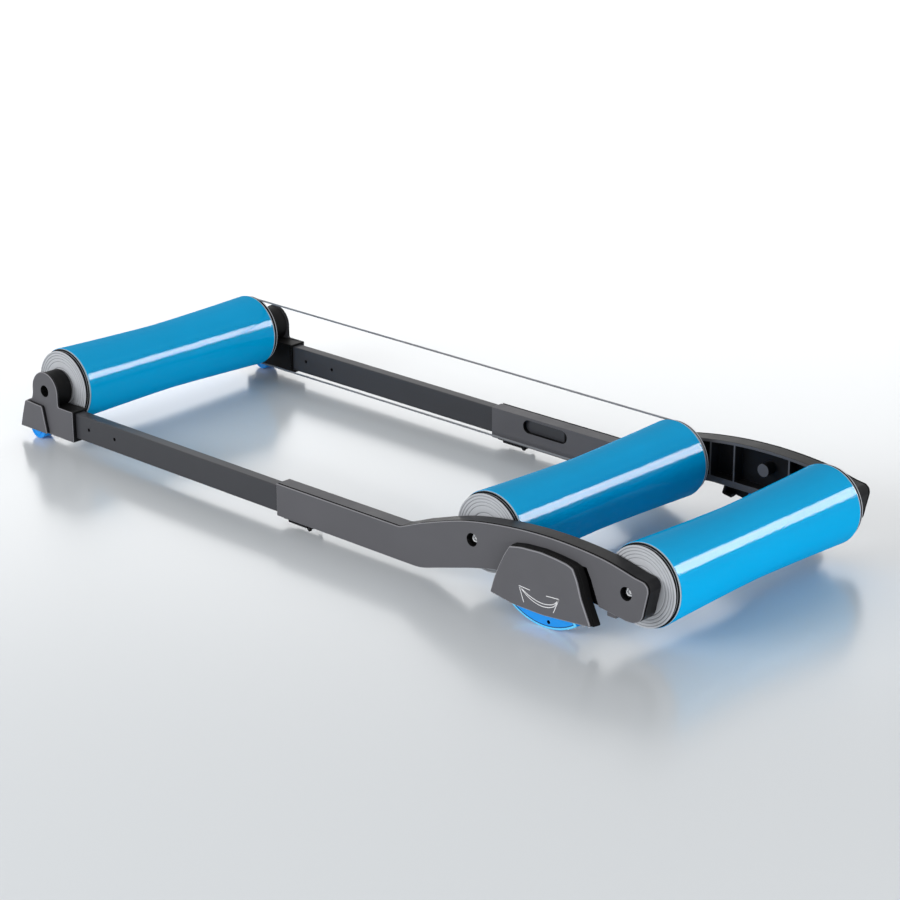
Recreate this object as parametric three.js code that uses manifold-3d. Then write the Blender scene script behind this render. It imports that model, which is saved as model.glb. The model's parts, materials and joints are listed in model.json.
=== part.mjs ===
import * as THREE from 'three';
import { mergeVertices } from 'three/addons/utils/BufferGeometryUtils.js';
import Module from 'manifold-3d';

// Bike rollers: three rollers in a telescoping frame. Millimetres, Z up.
// X runs towards the rear roller, Y towards the belt side. A rider faces -X.
// Pieces are modelled with the rear axle at X 0 and Z 0, on the side where Y is
// negative, and mirrored for the belt side. The group is then set on the floor.

// Places of the axles
const rearSpacing = 253; // rear axle to middle axle
const frontSpacing = 856; // middle axle to front axle, with the frame as it stands
const axleHeight = 77.2; // axles above the floor
const rollerShift = 7; // rollers' middle, off the frame's middle, away from the belt

// Fits
const clearance = 0.3; // between pieces that touch
const overrun = 5; // how far a cut runs past what it cuts

// How finely round shapes are cut
const shellSides = 28;
const capSides = 20;
const ringSides = 16;
const boltSides = 14;
const smallSides = 10;
const socketSides = 6;

// Roller shells
const shellHalf = 183; // coloured part, half its length
const shellLip = 3; // bare ring beyond the coloured part
const shellEndRadius = 55;
const shellWaist = 5; // how much slimmer the middle is
const shellWall = 3.5;
const shellBevel = 0.8;
const shellTaperPower = 1.35;
const shellShares = [-1, -0.75, -0.4, 0.4, 0.75, 1];

// Axles and bearings
const axleRadius = 6;
const bearingRadius = 14;
const bearingWidth = 8;

// Roller end caps, with depths counted outwards from the shell's end
const spigotDepth = 11;
const spigotFit = 0.5; // slimmer than the shell's bore
const capWall = 2.8;
const grooveDepth = 5.2; // below the shell's end radius
const grooveWidth = 3.8;
const rimInset = 2.5; // below the shell's end radius
const rimWidth = 1.5;
const rimSlope = 0.8;
const rimBand = 6.5;
const capStep = 0.5;
const hubWall = 5;
const hubRise = 0.5;

// Belt
const beltRadius = 1.5;
const beltSides = 6;
const beltArcSteps = 18;
const beltRunSteps = 5;

// Side frames, across
const nibStand = 1.8; // axle seats stand out of the arm's inner face
const armThickness = 26;
const armBevel = 2;
const armWall = 4;
const armWebDepth = 8; // outer web of the arch, outside the ribbed hollow
const ribThickness = 2.5;
const ribShares = [-1.16, -0.84, -0.68, -0.32, -0.17];

// Beams
const beamInset = 2; // inside the arm's outer face
const beamWidth = 17.5;
const beamHeight = 38.5;
const beamWall = 1.8;
const beamBevel = 1.5;
const beamOverlap = 136; // length inside the sleeve
const beamHoleRadius = 2.6;
const beamHoleDrop = 18.5; // below the beam's top
const beamHoleSetback = 91; // first hole, behind the front axle
const beamHolePitch = 58;
const plugFlange = 2.5;
const plugDepth = 14;
const foldGap = 36; // between sleeve and bracket with the front frame pushed in

// Rear arm's outline
const sleeveFront = 616; // sleeve's open end, ahead of the rear axle
const sleeveLift = 12.2; // above the floor
const sleeveFloor = 4.5;
const sleeveRoof = 3.5;
const kinkShare = 1.51; // where the top starts to rise, of the axle spacing
const heelShare = 1.364; // where the bottom starts to rise
const archCrown = 38.3; // above the axles
const archUnder = 29.5; // arch's underside, below the axles
const armTail = 33.6; // behind the rear axle
const armTailDrop = 36; // below the rear axle
// Arch's top: shares of the axle spacing ahead of the rear axle, and of the crown's height
const archTopShares = [
  [-1.364, -0.065], [-1.061, 0.56], [-0.751, 0.893], [-0.451, 1], [-0.16, 0.893], [0.05, 0.62],
];
const archSteps = 12;
// Tail: shares of its reach behind the axle, and of its drop below it
const tailShares = [
  [0.8, 0.57], [0.96, 0.45], [1, 0.28], [0.83, -0.39], [0.765, -0.68], [0.63, -0.86],
  [0.35, -0.98], [0.03, -1], [-1.19, -0.84],
];
// Arch's underside: shares of the axle spacing, and of the fall from under the arch to the sleeve
const archUnderShares = [[-0.3, 0], [-0.847, 0], [-1, 0.26], [-1.17, 0.6]];

// Window in the sleeve's inner wall
const windowRadius = 10;
const windowLength = 84;
const windowSetback = 62; // behind the sleeve's open end
const windowDrop = 13.5; // below the sleeve's top
const windowSteps = 6;

// Axle seats and screws in both side frames
const wellDepth = 12.2; // from the arm's face to the screw head's seat
const seatThickness = 6.3; // between the screw's head and the axle's end
const nibWall = 3.5;
const bossWall = 7.5;
const screwHeadRadius = 6.5;
const screwHeadHeight = 6;
const screwHeadRoom = 2.5; // round the head
const screwWall = 2; // axle left round the thread
const screwReach = 11; // into the axle
const socketRadius = 3.4;
const socketDepth = 3.5;

// Rocking feet
const rockerShare = 0.482; // arc's centre ahead of the rear axle, of the axle spacing
const rockerRise = 18.8; // arc's centre above the axles
const rockerHalfAngle = 34; // degrees
const rockerFacets = 15;
const rockerPlay = 0.7; // to the cover
const rockerRub = 1.3; // to the arm
const rockerHubRadius = 10;
const rockerOffset = 10; // pin below the arc's centre, which brings the foot back upright
const rockerPinRadius = 4;
const rockerPinReach = 17.5; // into the arm
const rockerPinWall = 5;
const rockerHoleRadius = 2.6;
const rockerHoleDepth = 9; // in from the arc
const rockerHoleAngle = 5.5; // degrees, towards the rear

// Covers over the rocking feet
const coverDepth = 14.5; // proud of the arm
const coverWall = 3;
const coverBevel = 1.6;
const coverTop = 22.8; // above the axles
const coverLift = 17.4; // above the floor
const coverReach = 86.5; // ahead of the foot's centre
// Outline: shares of the reach, and of the top's or bottom's distance from the axles' height
const coverShares = [
  [-0.63, 0.76], [-0.41, 0.91], [-0.04, 1], [0.24, 0.95], [0.46, 0.84], [0.56, 0.69],
  [0.65, 0.06], [0.72, -0.33], [0.82, -0.6], [0.91, -0.87],
  [0.64, -0.93], [0.02, -1], [-0.55, -0.99], [-1, -0.89],
  [-0.94, -0.6], [-0.83, -0.21], [-0.73, 0.16],
];
const coverMouthShares = [0.83, 0.8]; // open below for the foot: of the reach, and of the drop
// Channel in the arm behind the cover's rear edge
const shadowDepth = 5;
const shadowWidth = 13;
const shadowShares = [[0.54, 0.73], [0.65, 0.06], [0.72, -0.33], [0.78, -0.53]];

// Small lug under the arm, behind the cover
const lugAhead = 27;
const lugLength = 15;
const lugDrop = 11.5; // below the arch's underside
const lugInset = 6.5;

// Lock levers under the sleeves
const leverLength = 66;
const leverGap = 0.4; // under the sleeve
const leverThickness = 5.2;
const leverWidth = 17;
const leverPinSetback = 5; // pin ahead of the lever's rear end
const leverPinRadius = 1.6;
const padSetback = 6; // brake pad behind the lever's front end
const padLength = 12;
const padWidth = 11;
const padPlay = 1; // room for the pad's swing, ahead of it
const earThickness = 2.2;
const earRadius = 4.2;
const springRise = 0.2; // spring's radius over half the lever's thickness
const springWidth = 5;

// Front brackets
const bracketStep = 5; // outside the arm's outer face
const bracketCheek = 4; // inside the beam's inner face
const bracketBevel = 1.6;
const bracketRoof = 3.2;
const bracketFloor = 5;
const bracketRear = 62; // behind the front axle
const bracketFront = 43; // ahead of the front axle
const pocketFront = 9; // beam's front end, behind the front axle
const earTopRadius = 28.7;
const earSteps = 10;
// Ear's flanks, from the axle: shares of its top radius
const earRearShares = [[1, -0.65], [1.02, -0.2]];
const earFrontShares = [[-1, -0.25], [-1.1, -0.6]];
const frontBossInset = 1.7; // slimmer than the ear
const frontNibStand = 2.3;

// Front wheels
const wheelAhead = 19; // ahead of the front axle
const wheelRadius = 17;
const wheelSides = 20;
const wheelWidth = 21;
const wheelRoom = 2;
const wheelPlay = 2.5; // to the cover
const wheelPinRadius = 3;
const wheelPinStop = 2; // short of the bracket's inner face

// Front covers
const frontCoverDepth = 6.5; // proud of the bracket
const frontCoverWall = 2.5;
const frontCoverDrop = 2.2; // below the bracket's top
const frontCoverLift = 13.7; // above the floor
const frontCoverReach = 53; // ahead of the front axle
// Outline: shares of the reach, and 1 for the top or 0 for the bottom edge
const frontCoverShares = [[-0.75, 1], [-0.02, 0.95], [0.1, 0.4], [0.16, 0], [-1, 0], [-0.9, 0.45]];

// Worked out: rollers
const middleX = -rearSpacing;
const frontX = -rearSpacing - frontSpacing;
const partMiddleX = frontX / 2; // the front and rear rollers stand out equally far
const rollerY = -rollerShift;
const shellEnd = shellHalf + shellLip;
const shellWaistRadius = shellEndRadius - shellWaist;
const boreRadius = shellEndRadius - shellWall;
const spigotRadius = boreRadius - spigotFit;
const grooveRadius = shellEndRadius - grooveDepth;
const rimRadius = shellEndRadius - rimInset;
const capFaceRadius = rimRadius - rimBand;
const hubRadius = bearingRadius + hubWall;
const grooveStart = shellEnd + clearance;
const rimStart = grooveStart + grooveWidth + rimSlope;
const capFace = rimStart + rimWidth;
const hubFace = capFace + capStep + hubRise;
const bearingOuterFace = hubFace - clearance;
const bearingInnerFace = bearingOuterFace - bearingWidth;

// Worked out: the frame across, as distances from its middle plane
const nibEnd = rollerShift + hubFace + clearance;
const armInner = nibEnd + nibStand;
const armOuter = armInner + armThickness;
const armMiddle = (armInner + armOuter) / 2;
const beamOuter = armOuter - beamInset;
const beamInner = beamOuter - beamWidth;
const seatOuter = armOuter - wellDepth;
const seatInner = seatOuter - seatThickness;
const coverOuter = armOuter + coverDepth;
const rockerOuter = coverOuter - coverWall - rockerPlay;
const rockerInner = armOuter + rockerRub;
const rockerPinInner = armOuter - rockerPinReach;
const bracketOuter = armOuter + bracketStep;
const bracketInner = beamInner - bracketCheek;
const frontBossInner = nibEnd + frontNibStand;
const frontCoverOuter = bracketOuter + frontCoverDepth;
const wheelOuter = frontCoverOuter - frontCoverWall - wheelPlay;
const wheelInner = wheelOuter - wheelWidth;
const wheelPinInner = bracketInner + wheelPinStop;

// Worked out: the frame's heights, as distances below the axles
const sleeveBottom = axleHeight - sleeveLift;
const beamBottom = sleeveBottom - sleeveFloor;
const beamTop = beamBottom - beamHeight;
const sleeveTop = beamTop - sleeveRoof;
const bracketTop = beamTop - bracketRoof;
const bracketBottom = beamBottom + bracketFloor;
const coverBottom = axleHeight - coverLift;
const leverTop = sleeveBottom + leverGap;
const frontCoverTop = bracketTop + frontCoverDrop;
const frontCoverBottom = axleHeight - frontCoverLift;

// Worked out: seats, feet, wheels and levers
const nibRadius = axleRadius + nibWall;
const bossRadius = nibRadius + bossWall;
const screwShankRadius = axleRadius - screwWall;
const screwWellRadius = screwHeadRadius + screwHeadRoom;
const beamFrontX = frontX + pocketFront;
const beamRearX = beamOverlap - sleeveFront;
const foldTravel = -frontX - bracketRear - sleeveFront - foldGap;
const archFloor = armWall / 2 - beamTop; // leaves a thin floor over the beam's passage
const facetAngle = (2 * THREE.MathUtils.degToRad(rockerHalfAngle)) / rockerFacets;
const rockerRadius = axleHeight + rockerRise;
const rockerX = -rockerShare * rearSpacing;
const rockerZ = rockerRadius * Math.cos(facetAngle / 2) - axleHeight;
const rockerPinZ = rockerZ - rockerOffset;
const rockerPinOuter = coverOuter - coverWall / 2 - clearance;
const wheelX = frontX - wheelAhead;
const wheelZ = wheelRadius * Math.cos(Math.PI / wheelSides) - axleHeight;
const wheelPinOuter = frontCoverOuter - frontCoverWall - clearance;
const leverFrontX = -sleeveFront;
const leverPinX = leverFrontX + leverLength - leverPinSetback;
const leverPinZ = -leverTop - leverThickness / 2;
const springRadius = leverThickness / 2 + springRise;
const padX = leverFrontX + padSetback;

// Finishes
const finish = (color, roughness, metalness) =>
  new THREE.MeshStandardMaterial({ color, roughness, metalness });
const framePaint = finish(0x55565b, 0.5, 0.1);
const coverPlastic = finish(0x5a5a5f, 0.5, 0);
const darkPlastic = finish(0x1d1e20, 0.6, 0);
const shellBlue = finish(0x0a9fdc, 0.2, 0);
const footBlue = finish(0x1e90ea, 0.45, 0);
const capGrey = finish(0xb4b7bb, 0.45, 0);
const steel = finish(0xc6c8ca, 0.3, 1);
const beltBlack = finish(0x161616, 0.7, 0);

// Solids for joining and cutting
const wasm = await Module();
wasm.setup();

function outward(geometry) {
  const point = geometry.getAttribute('position');
  const index = geometry.getIndex();
  const corner = [new THREE.Vector3(), new THREE.Vector3(), new THREE.Vector3()];
  let volume = 0;
  for (let i = 0; i < index.count; i += 3) {
    corner.forEach((c, k) => c.fromBufferAttribute(point, index.getX(i + k)));
    volume += corner[0].dot(corner[1].cross(corner[2]));
  }
  if (volume > 0) return geometry;
  for (let i = 0; i < index.count; i += 3) {
    const first = index.getX(i);
    index.setX(i, index.getX(i + 1));
    index.setX(i + 1, first);
  }
  return geometry;
}

function bare(geometry) {
  const plain = geometry.index ? geometry : mergeVertices(geometry);
  plain.deleteAttribute('normal');
  plain.deleteAttribute('uv');
  return outward(mergeVertices(plain));
}

function solid(geometry) {
  const plain = bare(geometry);
  return new wasm.Manifold(new wasm.Mesh({
    numProp: 3,
    vertProperties: new Float32Array(plain.getAttribute('position').array),
    triVerts: new Uint32Array(plain.getIndex().array),
  }));
}

function skin(body) {
  const mesh = body.getMesh();
  const geometry = new THREE.BufferGeometry();
  geometry.setAttribute('position', new THREE.BufferAttribute(mesh.vertProperties, 3));
  geometry.setIndex(new THREE.BufferAttribute(mesh.triVerts, 1));
  return geometry;
}

const cut = (body, ...tools) => tools.reduce((kept, tool) => kept.subtract(solid(tool)), body);
const joined = (...parts) => parts.map(solid).reduce((whole, part) => whole.add(part));

function mirrored(geometry) {
  return outward(bare(geometry.clone().applyMatrix4(new THREE.Matrix4().makeScale(1, -1, 1))));
}

// A box between two corners
function block(x0, x1, y0, y1, z0, z1) {
  const box = new THREE.BoxGeometry(x1 - x0, y1 - y0, z1 - z0);
  return box.translate((x0 + x1) / 2, (y0 + y1) / 2, (z0 + z1) / 2);
}

// An outline in X and Z, as thick as the frame between two distances from its middle plane
function plate(outline, outer, inner, bevel = 0) {
  const shape = new THREE.Shape(outline);
  const depth = outer - inner - 2 * bevel;
  const settings = bevel
    ? { bevelEnabled: true, bevelSize: bevel, bevelOffset: -bevel, bevelThickness: bevel }
    : { bevelEnabled: false };
  const slab = new THREE.ExtrudeGeometry(shape, { depth, bevelSegments: 1, ...settings });
  return slab.rotateX(Math.PI / 2).translate(0, -inner - bevel, 0);
}

// A round bar along Y between two distances from the middle plane
function bar(x, z, radius, outer, inner, sides = boltSides) {
  const round = new THREE.CylinderGeometry(radius, radius, outer - inner, sides);
  return round.translate(x, -(outer + inner) / 2, z);
}

// A profile of radius and distance along Y, turned about an axis at X and Z
function turned(profile, sides, x = 0, y = 0, z = 0) {
  const points = profile.map(([radius, along]) => new THREE.Vector2(radius, along));
  return new THREE.LatheGeometry(points, sides).translate(x, y, z);
}

// A box section along X, with its long edges bevelled
function boxSection(x0, x1, outer, inner, top, bottom, bevel) {
  const shape = new THREE.Shape();
  shape.moveTo(-outer + bevel, -bottom);
  shape.lineTo(-inner - bevel, -bottom);
  shape.lineTo(-inner, -bottom + bevel);
  shape.lineTo(-inner, -top - bevel);
  shape.lineTo(-inner - bevel, -top);
  shape.lineTo(-outer + bevel, -top);
  shape.lineTo(-outer, -top - bevel);
  shape.lineTo(-outer, -bottom + bevel);
  shape.closePath();
  const section = new THREE.ExtrudeGeometry(shape, { depth: x1 - x0, bevelEnabled: false });
  // The shape's own X and Y become Y and Z, and its depth becomes X
  const turn = new THREE.Matrix4().makeBasis(
    new THREE.Vector3(0, 1, 0), new THREE.Vector3(0, 0, 1), new THREE.Vector3(1, 0, 0));
  return section.applyMatrix4(turn).translate(x0, 0, 0);
}

const group = new THREE.Group();
group.name = 'bike_rollers';
group.position.set(-partMiddleX, 0, axleHeight);

function place(name, geometry, material) {
  const mesh = new THREE.Mesh(geometry, material);
  mesh.name = name;
  group.add(mesh);
}

// The same piece on both sides of the frame
function pair(name, geometry, material) {
  place(`left_${name}`, geometry, material);
  place(`right_${name}`, mirrored(geometry), material);
}

// Rollers
function shellRadius(along) {
  const share = Math.min(Math.abs(along) / shellHalf, 1);
  return shellWaistRadius + (shellEndRadius - shellWaistRadius) * share ** shellTaperPower;
}

function drum() {
  const profile = [[shellEndRadius - shellBevel, -shellEnd]];
  shellShares.forEach((share) => {
    profile.push([shellRadius(share * shellHalf), share * shellHalf]);
  });
  profile.push([shellEndRadius - shellBevel, shellEnd]);
  const seatEnd = shellEnd - spigotDepth - clearance;
  profile.push([boreRadius, shellEnd], [boreRadius, seatEnd], [shellWaistRadius - shellWall, 0],
    [boreRadius, -seatEnd], [boreRadius, -shellEnd], profile[0]);
  return turned(profile, shellSides);
}

function cap() {
  const web = rimStart - capWall;
  return turned([
    [spigotRadius, shellEnd - spigotDepth],
    [spigotRadius, grooveStart],
    [grooveRadius, grooveStart],
    [grooveRadius, grooveStart + grooveWidth],
    [rimRadius, rimStart],
    [rimRadius, capFace],
    [capFaceRadius, capFace],
    [capFaceRadius - capStep, capFace + capStep],
    [hubRadius + capStep, capFace + capStep],
    [hubRadius, hubFace],
    [bearingRadius + clearance, hubFace],
    [bearingRadius + clearance, bearingInnerFace - clearance],
    [axleRadius + capWall, bearingInnerFace - clearance],
    [axleRadius + capWall, bearingInnerFace - clearance - capWall],
    [hubRadius, web],
    [grooveRadius - capWall, web],
    [grooveRadius - capWall, shellEnd - spigotDepth],
    [spigotRadius, shellEnd - spigotDepth],
  ], capSides);
}

function bearing() {
  const bore = axleRadius + clearance;
  return turned([
    [bore, bearingInnerFace], [bearingRadius, bearingInnerFace],
    [bearingRadius, bearingOuterFace], [bore, bearingOuterFace], [bore, bearingInnerFace],
  ], ringSides);
}

function axle(x) {
  const end = seatInner - clearance;
  const bore = screwShankRadius + clearance;
  const bottom = end - screwReach - clearance;
  return turned([
    [0, -bottom], [bore, -bottom], [bore, -end], [axleRadius, -end],
    [axleRadius, end], [bore, end], [bore, bottom], [0, bottom],
  ], boltSides, x);
}

function axleScrew(x) {
  const seat = seatOuter + clearance;
  const face = seat + screwHeadHeight;
  const screw = turned([
    [0, screwReach - seatInner], [screwShankRadius, screwReach - seatInner],
    [screwShankRadius, -seat], [screwHeadRadius, -seat], [screwHeadRadius, -face], [0, -face],
  ], boltSides, x);
  const socket = bar(x, 0, socketRadius, face + overrun, face - socketDepth, socketSides);
  return skin(cut(solid(screw), socket));
}

function spacer(x) {
  const from = rollerY + hubFace + clearance;
  const to = nibEnd - clearance;
  const bore = axleRadius + clearance;
  return turned([
    [bore, from], [nibRadius, from], [nibRadius, to], [bore, to], [bore, from],
  ], boltSides, x);
}

[['rear', 0], ['middle', middleX], ['front', frontX]].forEach(([name, x]) => {
  place(`${name}_drum`, drum().translate(x, rollerY, 0), shellBlue);
  place(`${name}_left_cap`, mirrored(cap()).translate(x, rollerY, 0), capGrey);
  place(`${name}_right_cap`, cap().translate(x, rollerY, 0), capGrey);
  place(`${name}_left_bearing`, mirrored(bearing()).translate(x, rollerY, 0), steel);
  place(`${name}_right_bearing`, bearing().translate(x, rollerY, 0), steel);
  place(`${name}_axle`, axle(x), steel);
  place(`${name}_left_screw`, axleScrew(x), steel);
  place(`${name}_right_screw`, mirrored(axleScrew(x)), steel);
  place(`${name}_spacer`, spacer(x), steel);
});

// Belt: two straight runs and two half turns, swept by a ring of points
function belt() {
  const pitch = grooveRadius + clearance + beltRadius;
  const y = rollerY + grooveStart + grooveWidth / 2;
  const route = [];
  const turn = (x, start) => {
    for (let step = 0; step <= beltArcSteps; step += 1) {
      const angle = start + (Math.PI * step) / beltArcSteps;
      const away = new THREE.Vector3(Math.cos(angle), 0, Math.sin(angle));
      route.push({ away, at: new THREE.Vector3(x, y, 0).addScaledVector(away, pitch) });
    }
  };
  const run = (from, to, up) => {
    for (let step = 1; step < beltRunSteps; step += 1) {
      const x = THREE.MathUtils.lerp(from, to, step / beltRunSteps);
      route.push({ away: new THREE.Vector3(0, 0, up), at: new THREE.Vector3(x, y, up * pitch) });
    }
  };
  turn(middleX, -Math.PI / 2);
  run(middleX, frontX, 1);
  turn(frontX, Math.PI / 2);
  run(frontX, middleX, -1);
  const position = [];
  const index = [];
  route.forEach(({ away, at }, i) => {
    for (let side = 0; side < beltSides; side += 1) {
      const angle = (2 * Math.PI * side) / beltSides;
      const point = at.clone().addScaledVector(away, beltRadius * Math.cos(angle));
      position.push(point.x, point.y + beltRadius * Math.sin(angle), point.z);
      const next = (side + 1) % beltSides;
      const ahead = (i + 1) % route.length;
      const a = i * beltSides + side;
      const b = i * beltSides + next;
      const c = ahead * beltSides + side;
      const d = ahead * beltSides + next;
      index.push(a, b, c, b, d, c);
    }
  });
  const geometry = new THREE.BufferGeometry();
  geometry.setAttribute('position', new THREE.BufferAttribute(new Float32Array(position), 3));
  geometry.setIndex(new THREE.BufferAttribute(new Uint32Array(index), 1));
  return outward(geometry);
}
place('drive_belt', belt(), beltBlack);

// Seats for an axle's end and its screw, added to a side frame
function withAxleSeat(body, x, outer, inner) {
  return cut(body.add(solid(bar(x, 0, nibRadius, inner + armWall, nibEnd))),
    bar(x, 0, screwWellRadius, outer + overrun, seatOuter),
    bar(x, 0, screwShankRadius + clearance, seatOuter + overrun, inner),
    bar(x, 0, axleRadius + clearance, seatInner, rollerShift + shellEnd));
}

// The space that a beam slides in
function beamPassage(x0, x1) {
  return block(x0, x1, -beamOuter - clearance, -beamInner + clearance,
    -beamBottom - clearance, -beamTop + clearance);
}

// Outline of the cover over a rocking foot, or a part of it
function coverOutline(shares) {
  return shares.map(([along, up]) => new THREE.Vector2(
    rockerX + along * coverReach, up * (up > 0 ? coverTop : coverBottom)));
}

// Rear arm: sleeve, arch and tail in one outline
function armOutline() {
  const fall = sleeveBottom - archUnder;
  const archTop = new THREE.SplineCurve(archTopShares.map(
    ([along, up]) => new THREE.Vector2(along * rearSpacing, up * archCrown)));
  return [
    new THREE.Vector2(-sleeveFront, -sleeveTop),
    new THREE.Vector2(-kinkShare * rearSpacing, -sleeveTop + armBevel / 2),
    ...archTop.getPoints(archSteps),
    ...tailShares.map(([along, up]) => new THREE.Vector2(
      along * armTail, up * (up > 0 ? archCrown : armTailDrop))),
    ...archUnderShares.map(([along, down]) => new THREE.Vector2(
      along * rearSpacing, -archUnder - down * fall)),
    new THREE.Vector2(-heelShare * rearSpacing, -sleeveBottom),
    new THREE.Vector2(-sleeveFront, -sleeveBottom),
  ];
}

// A clockwise outline, moved inwards
function inset(points, distance) {
  const count = points.length;
  return points.map((point, i) => {
    const arriving = point.clone().sub(points[(i + count - 1) % count]).normalize();
    const leaving = points[(i + 1) % count].clone().sub(point).normalize();
    const inwards = new THREE.Vector2(arriving.y + leaving.y, -arriving.x - leaving.x).normalize();
    const spread = inwards.dot(new THREE.Vector2(arriving.y, -arriving.x));
    return point.clone().addScaledVector(inwards, distance / spread);
  });
}

// Hollow of the arch, open towards the rollers, around its bosses and ribs
function archHollow() {
  const deep = armInner - overrun;
  const top = archCrown + overrun;
  const cavity = solid(plate(inset(armOutline(), armWall), armOuter - armWebDepth, deep))
    .intersect(solid(block(-heelShare * rearSpacing, armTail, -armOuter, -deep, archFloor, top)));
  return cut(cavity,
    bar(0, 0, bossRadius, armOuter, deep, ringSides),
    bar(middleX, 0, bossRadius, armOuter, deep, ringSides),
    bar(rockerX, rockerPinZ, rockerPinRadius + rockerPinWall, armOuter, deep),
    ...ribShares.map((share) => block(share * rearSpacing, share * rearSpacing + ribThickness,
      -armOuter, -deep, -sleeveBottom, top)));
}

// Oblong window in the sleeve's inner wall
function sleeveWindow() {
  const x0 = windowSetback + windowRadius - sleeveFront;
  const x1 = x0 + windowLength - 2 * windowRadius;
  const windowZ = sleeveTop + windowDrop;
  const slot = new THREE.Shape();
  slot.absarc(x0, -windowZ, windowRadius, Math.PI / 2, 1.5 * Math.PI);
  slot.absarc(x1, -windowZ, windowRadius, -Math.PI / 2, Math.PI / 2);
  return plate(slot.getPoints(windowSteps).slice(0, -1), beamInner, armInner - overrun);
}

// Channel in the arm's face, behind the cover's rear edge
function coverShadow() {
  const edge = coverOutline(shadowShares);
  const far = edge.map((point) => new THREE.Vector2(point.x + shadowWidth, point.y));
  return plate([...edge, ...far.reverse()], armOuter + overrun, armOuter - shadowDepth);
}

// Two ears under the sleeve that hold the lever's pin
function leverEars() {
  const span = leverWidth / 2 + clearance;
  return [armMiddle + span + earThickness, armMiddle - span].flatMap((outer) => {
    const inner = outer - earThickness;
    return [
      bar(leverPinX, leverPinZ, earRadius, outer, inner),
      block(leverPinX - earRadius, leverPinX + earRadius, -outer, -inner,
        leverPinZ, -sleeveBottom + earThickness),
    ];
  });
}

function arm() {
  const lug = block(-lugAhead - lugLength / 2, -lugAhead + lugLength / 2,
    -armOuter + lugInset, -armInner - armBevel, -archUnder - lugDrop, -archUnder + armWall);
  const padSlot = block(padX - padPlay, padX + padLength + clearance,
    -armMiddle - padWidth / 2 - clearance, -armMiddle + padWidth / 2 + clearance,
    -sleeveBottom - overrun, -beamBottom);
  const pinReach = leverWidth / 2 + earThickness + overrun;
  let body = solid(plate(armOutline(), armOuter, armInner, armBevel)).subtract(archHollow());
  body = withAxleSeat(body.add(solid(lug)), 0, armOuter, armInner);
  body = withAxleSeat(body, middleX, armOuter, armInner);
  body = cut(body,
    beamPassage(-sleeveFront - overrun, beamRearX + foldTravel + overrun),
    coverShadow(), sleeveWindow(), padSlot,
    bar(rockerX, rockerPinZ, rockerPinRadius + clearance, armOuter + overrun,
      rockerPinInner - clearance));
  return skin(cut(body.add(joined(...leverEars())),
    bar(leverPinX, leverPinZ, leverPinRadius + clearance, armMiddle + pinReach,
      armMiddle - pinReach, smallSides)));
}
pair('rear_arm', arm(), framePaint);

// Rocking foot: a sector that hangs from its pin, with a hole near its tread
function rocker() {
  const half = THREE.MathUtils.degToRad(rockerHalfAngle);
  const outline = [];
  for (let step = 0; step <= rockerFacets; step += 1) {
    const angle = -half + step * facetAngle;
    outline.push(new THREE.Vector2(rockerX + rockerRadius * Math.sin(angle),
      rockerZ - rockerRadius * Math.cos(angle)));
  }
  outline.push(new THREE.Vector2(rockerX + rockerHubRadius, rockerPinZ));
  outline.push(new THREE.Vector2(rockerX - rockerHubRadius, rockerPinZ));
  const holeAngle = THREE.MathUtils.degToRad(rockerHoleAngle);
  const holeReach = rockerRadius - rockerHoleDepth;
  const past = rockerOuter + overrun;
  const under = rockerInner - overrun;
  return skin(cut(
    joined(plate(outline, rockerOuter, rockerInner),
      bar(rockerX, rockerPinZ, rockerHubRadius, rockerOuter, rockerInner)),
    bar(rockerX, rockerPinZ, rockerPinRadius + clearance, past, under),
    bar(rockerX + holeReach * Math.sin(holeAngle), rockerZ - holeReach * Math.cos(holeAngle),
      rockerHoleRadius, past, under, smallSides)));
}
pair('rocker', rocker(), footBlue);

pair('rocker_pin', bar(rockerX, rockerPinZ, rockerPinRadius, rockerPinOuter, rockerPinInner),
  steel);

function rearCover() {
  const outline = coverOutline(coverShares);
  const [mouth, mouthTop] = coverMouthShares;
  const back = armOuter + clearance;
  return skin(cut(solid(plate(outline, coverOuter, back, coverBevel)),
    plate(inset(outline, coverWall), coverOuter - coverWall, back - overrun),
    block(rockerX - mouth * coverReach, rockerX + mouth * coverReach, -coverOuter + coverWall,
      -back + overrun, -axleHeight, -coverBottom * mouthTop),
    bar(rockerX, rockerPinZ, rockerPinRadius + clearance, rockerPinOuter + clearance, back)));
}
pair('rear_cover', rearCover(), coverPlastic);

// Beam: an open box section with two holes near its front
function beam() {
  return skin(cut(
    solid(boxSection(beamFrontX, beamRearX, beamOuter, beamInner, beamTop, beamBottom, beamBevel)),
    boxSection(beamFrontX - overrun, beamRearX + overrun, beamOuter - beamWall,
      beamInner + beamWall, beamTop + beamWall, beamBottom - beamWall, beamBevel / 2),
    ...[0, beamHolePitch].map((step) => bar(frontX + beamHoleSetback + step, -beamTop - beamHoleDrop,
      beamHoleRadius, beamOuter + overrun, beamInner - overrun, smallSides))));
}
pair('beam', beam(), framePaint);

function beamPlug() {
  const room = beamWall + clearance;
  const x = beamRearX + clearance;
  return skin(joined(
    boxSection(x, x + plugFlange, beamOuter, beamInner, beamTop, beamBottom, beamBevel),
    boxSection(x - plugDepth, x + plugFlange / 2, beamOuter - room, beamInner + room,
      beamTop + room, beamBottom - room, beamBevel)));
}
pair('beam_plug', beamPlug(), darkPlastic);

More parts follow.
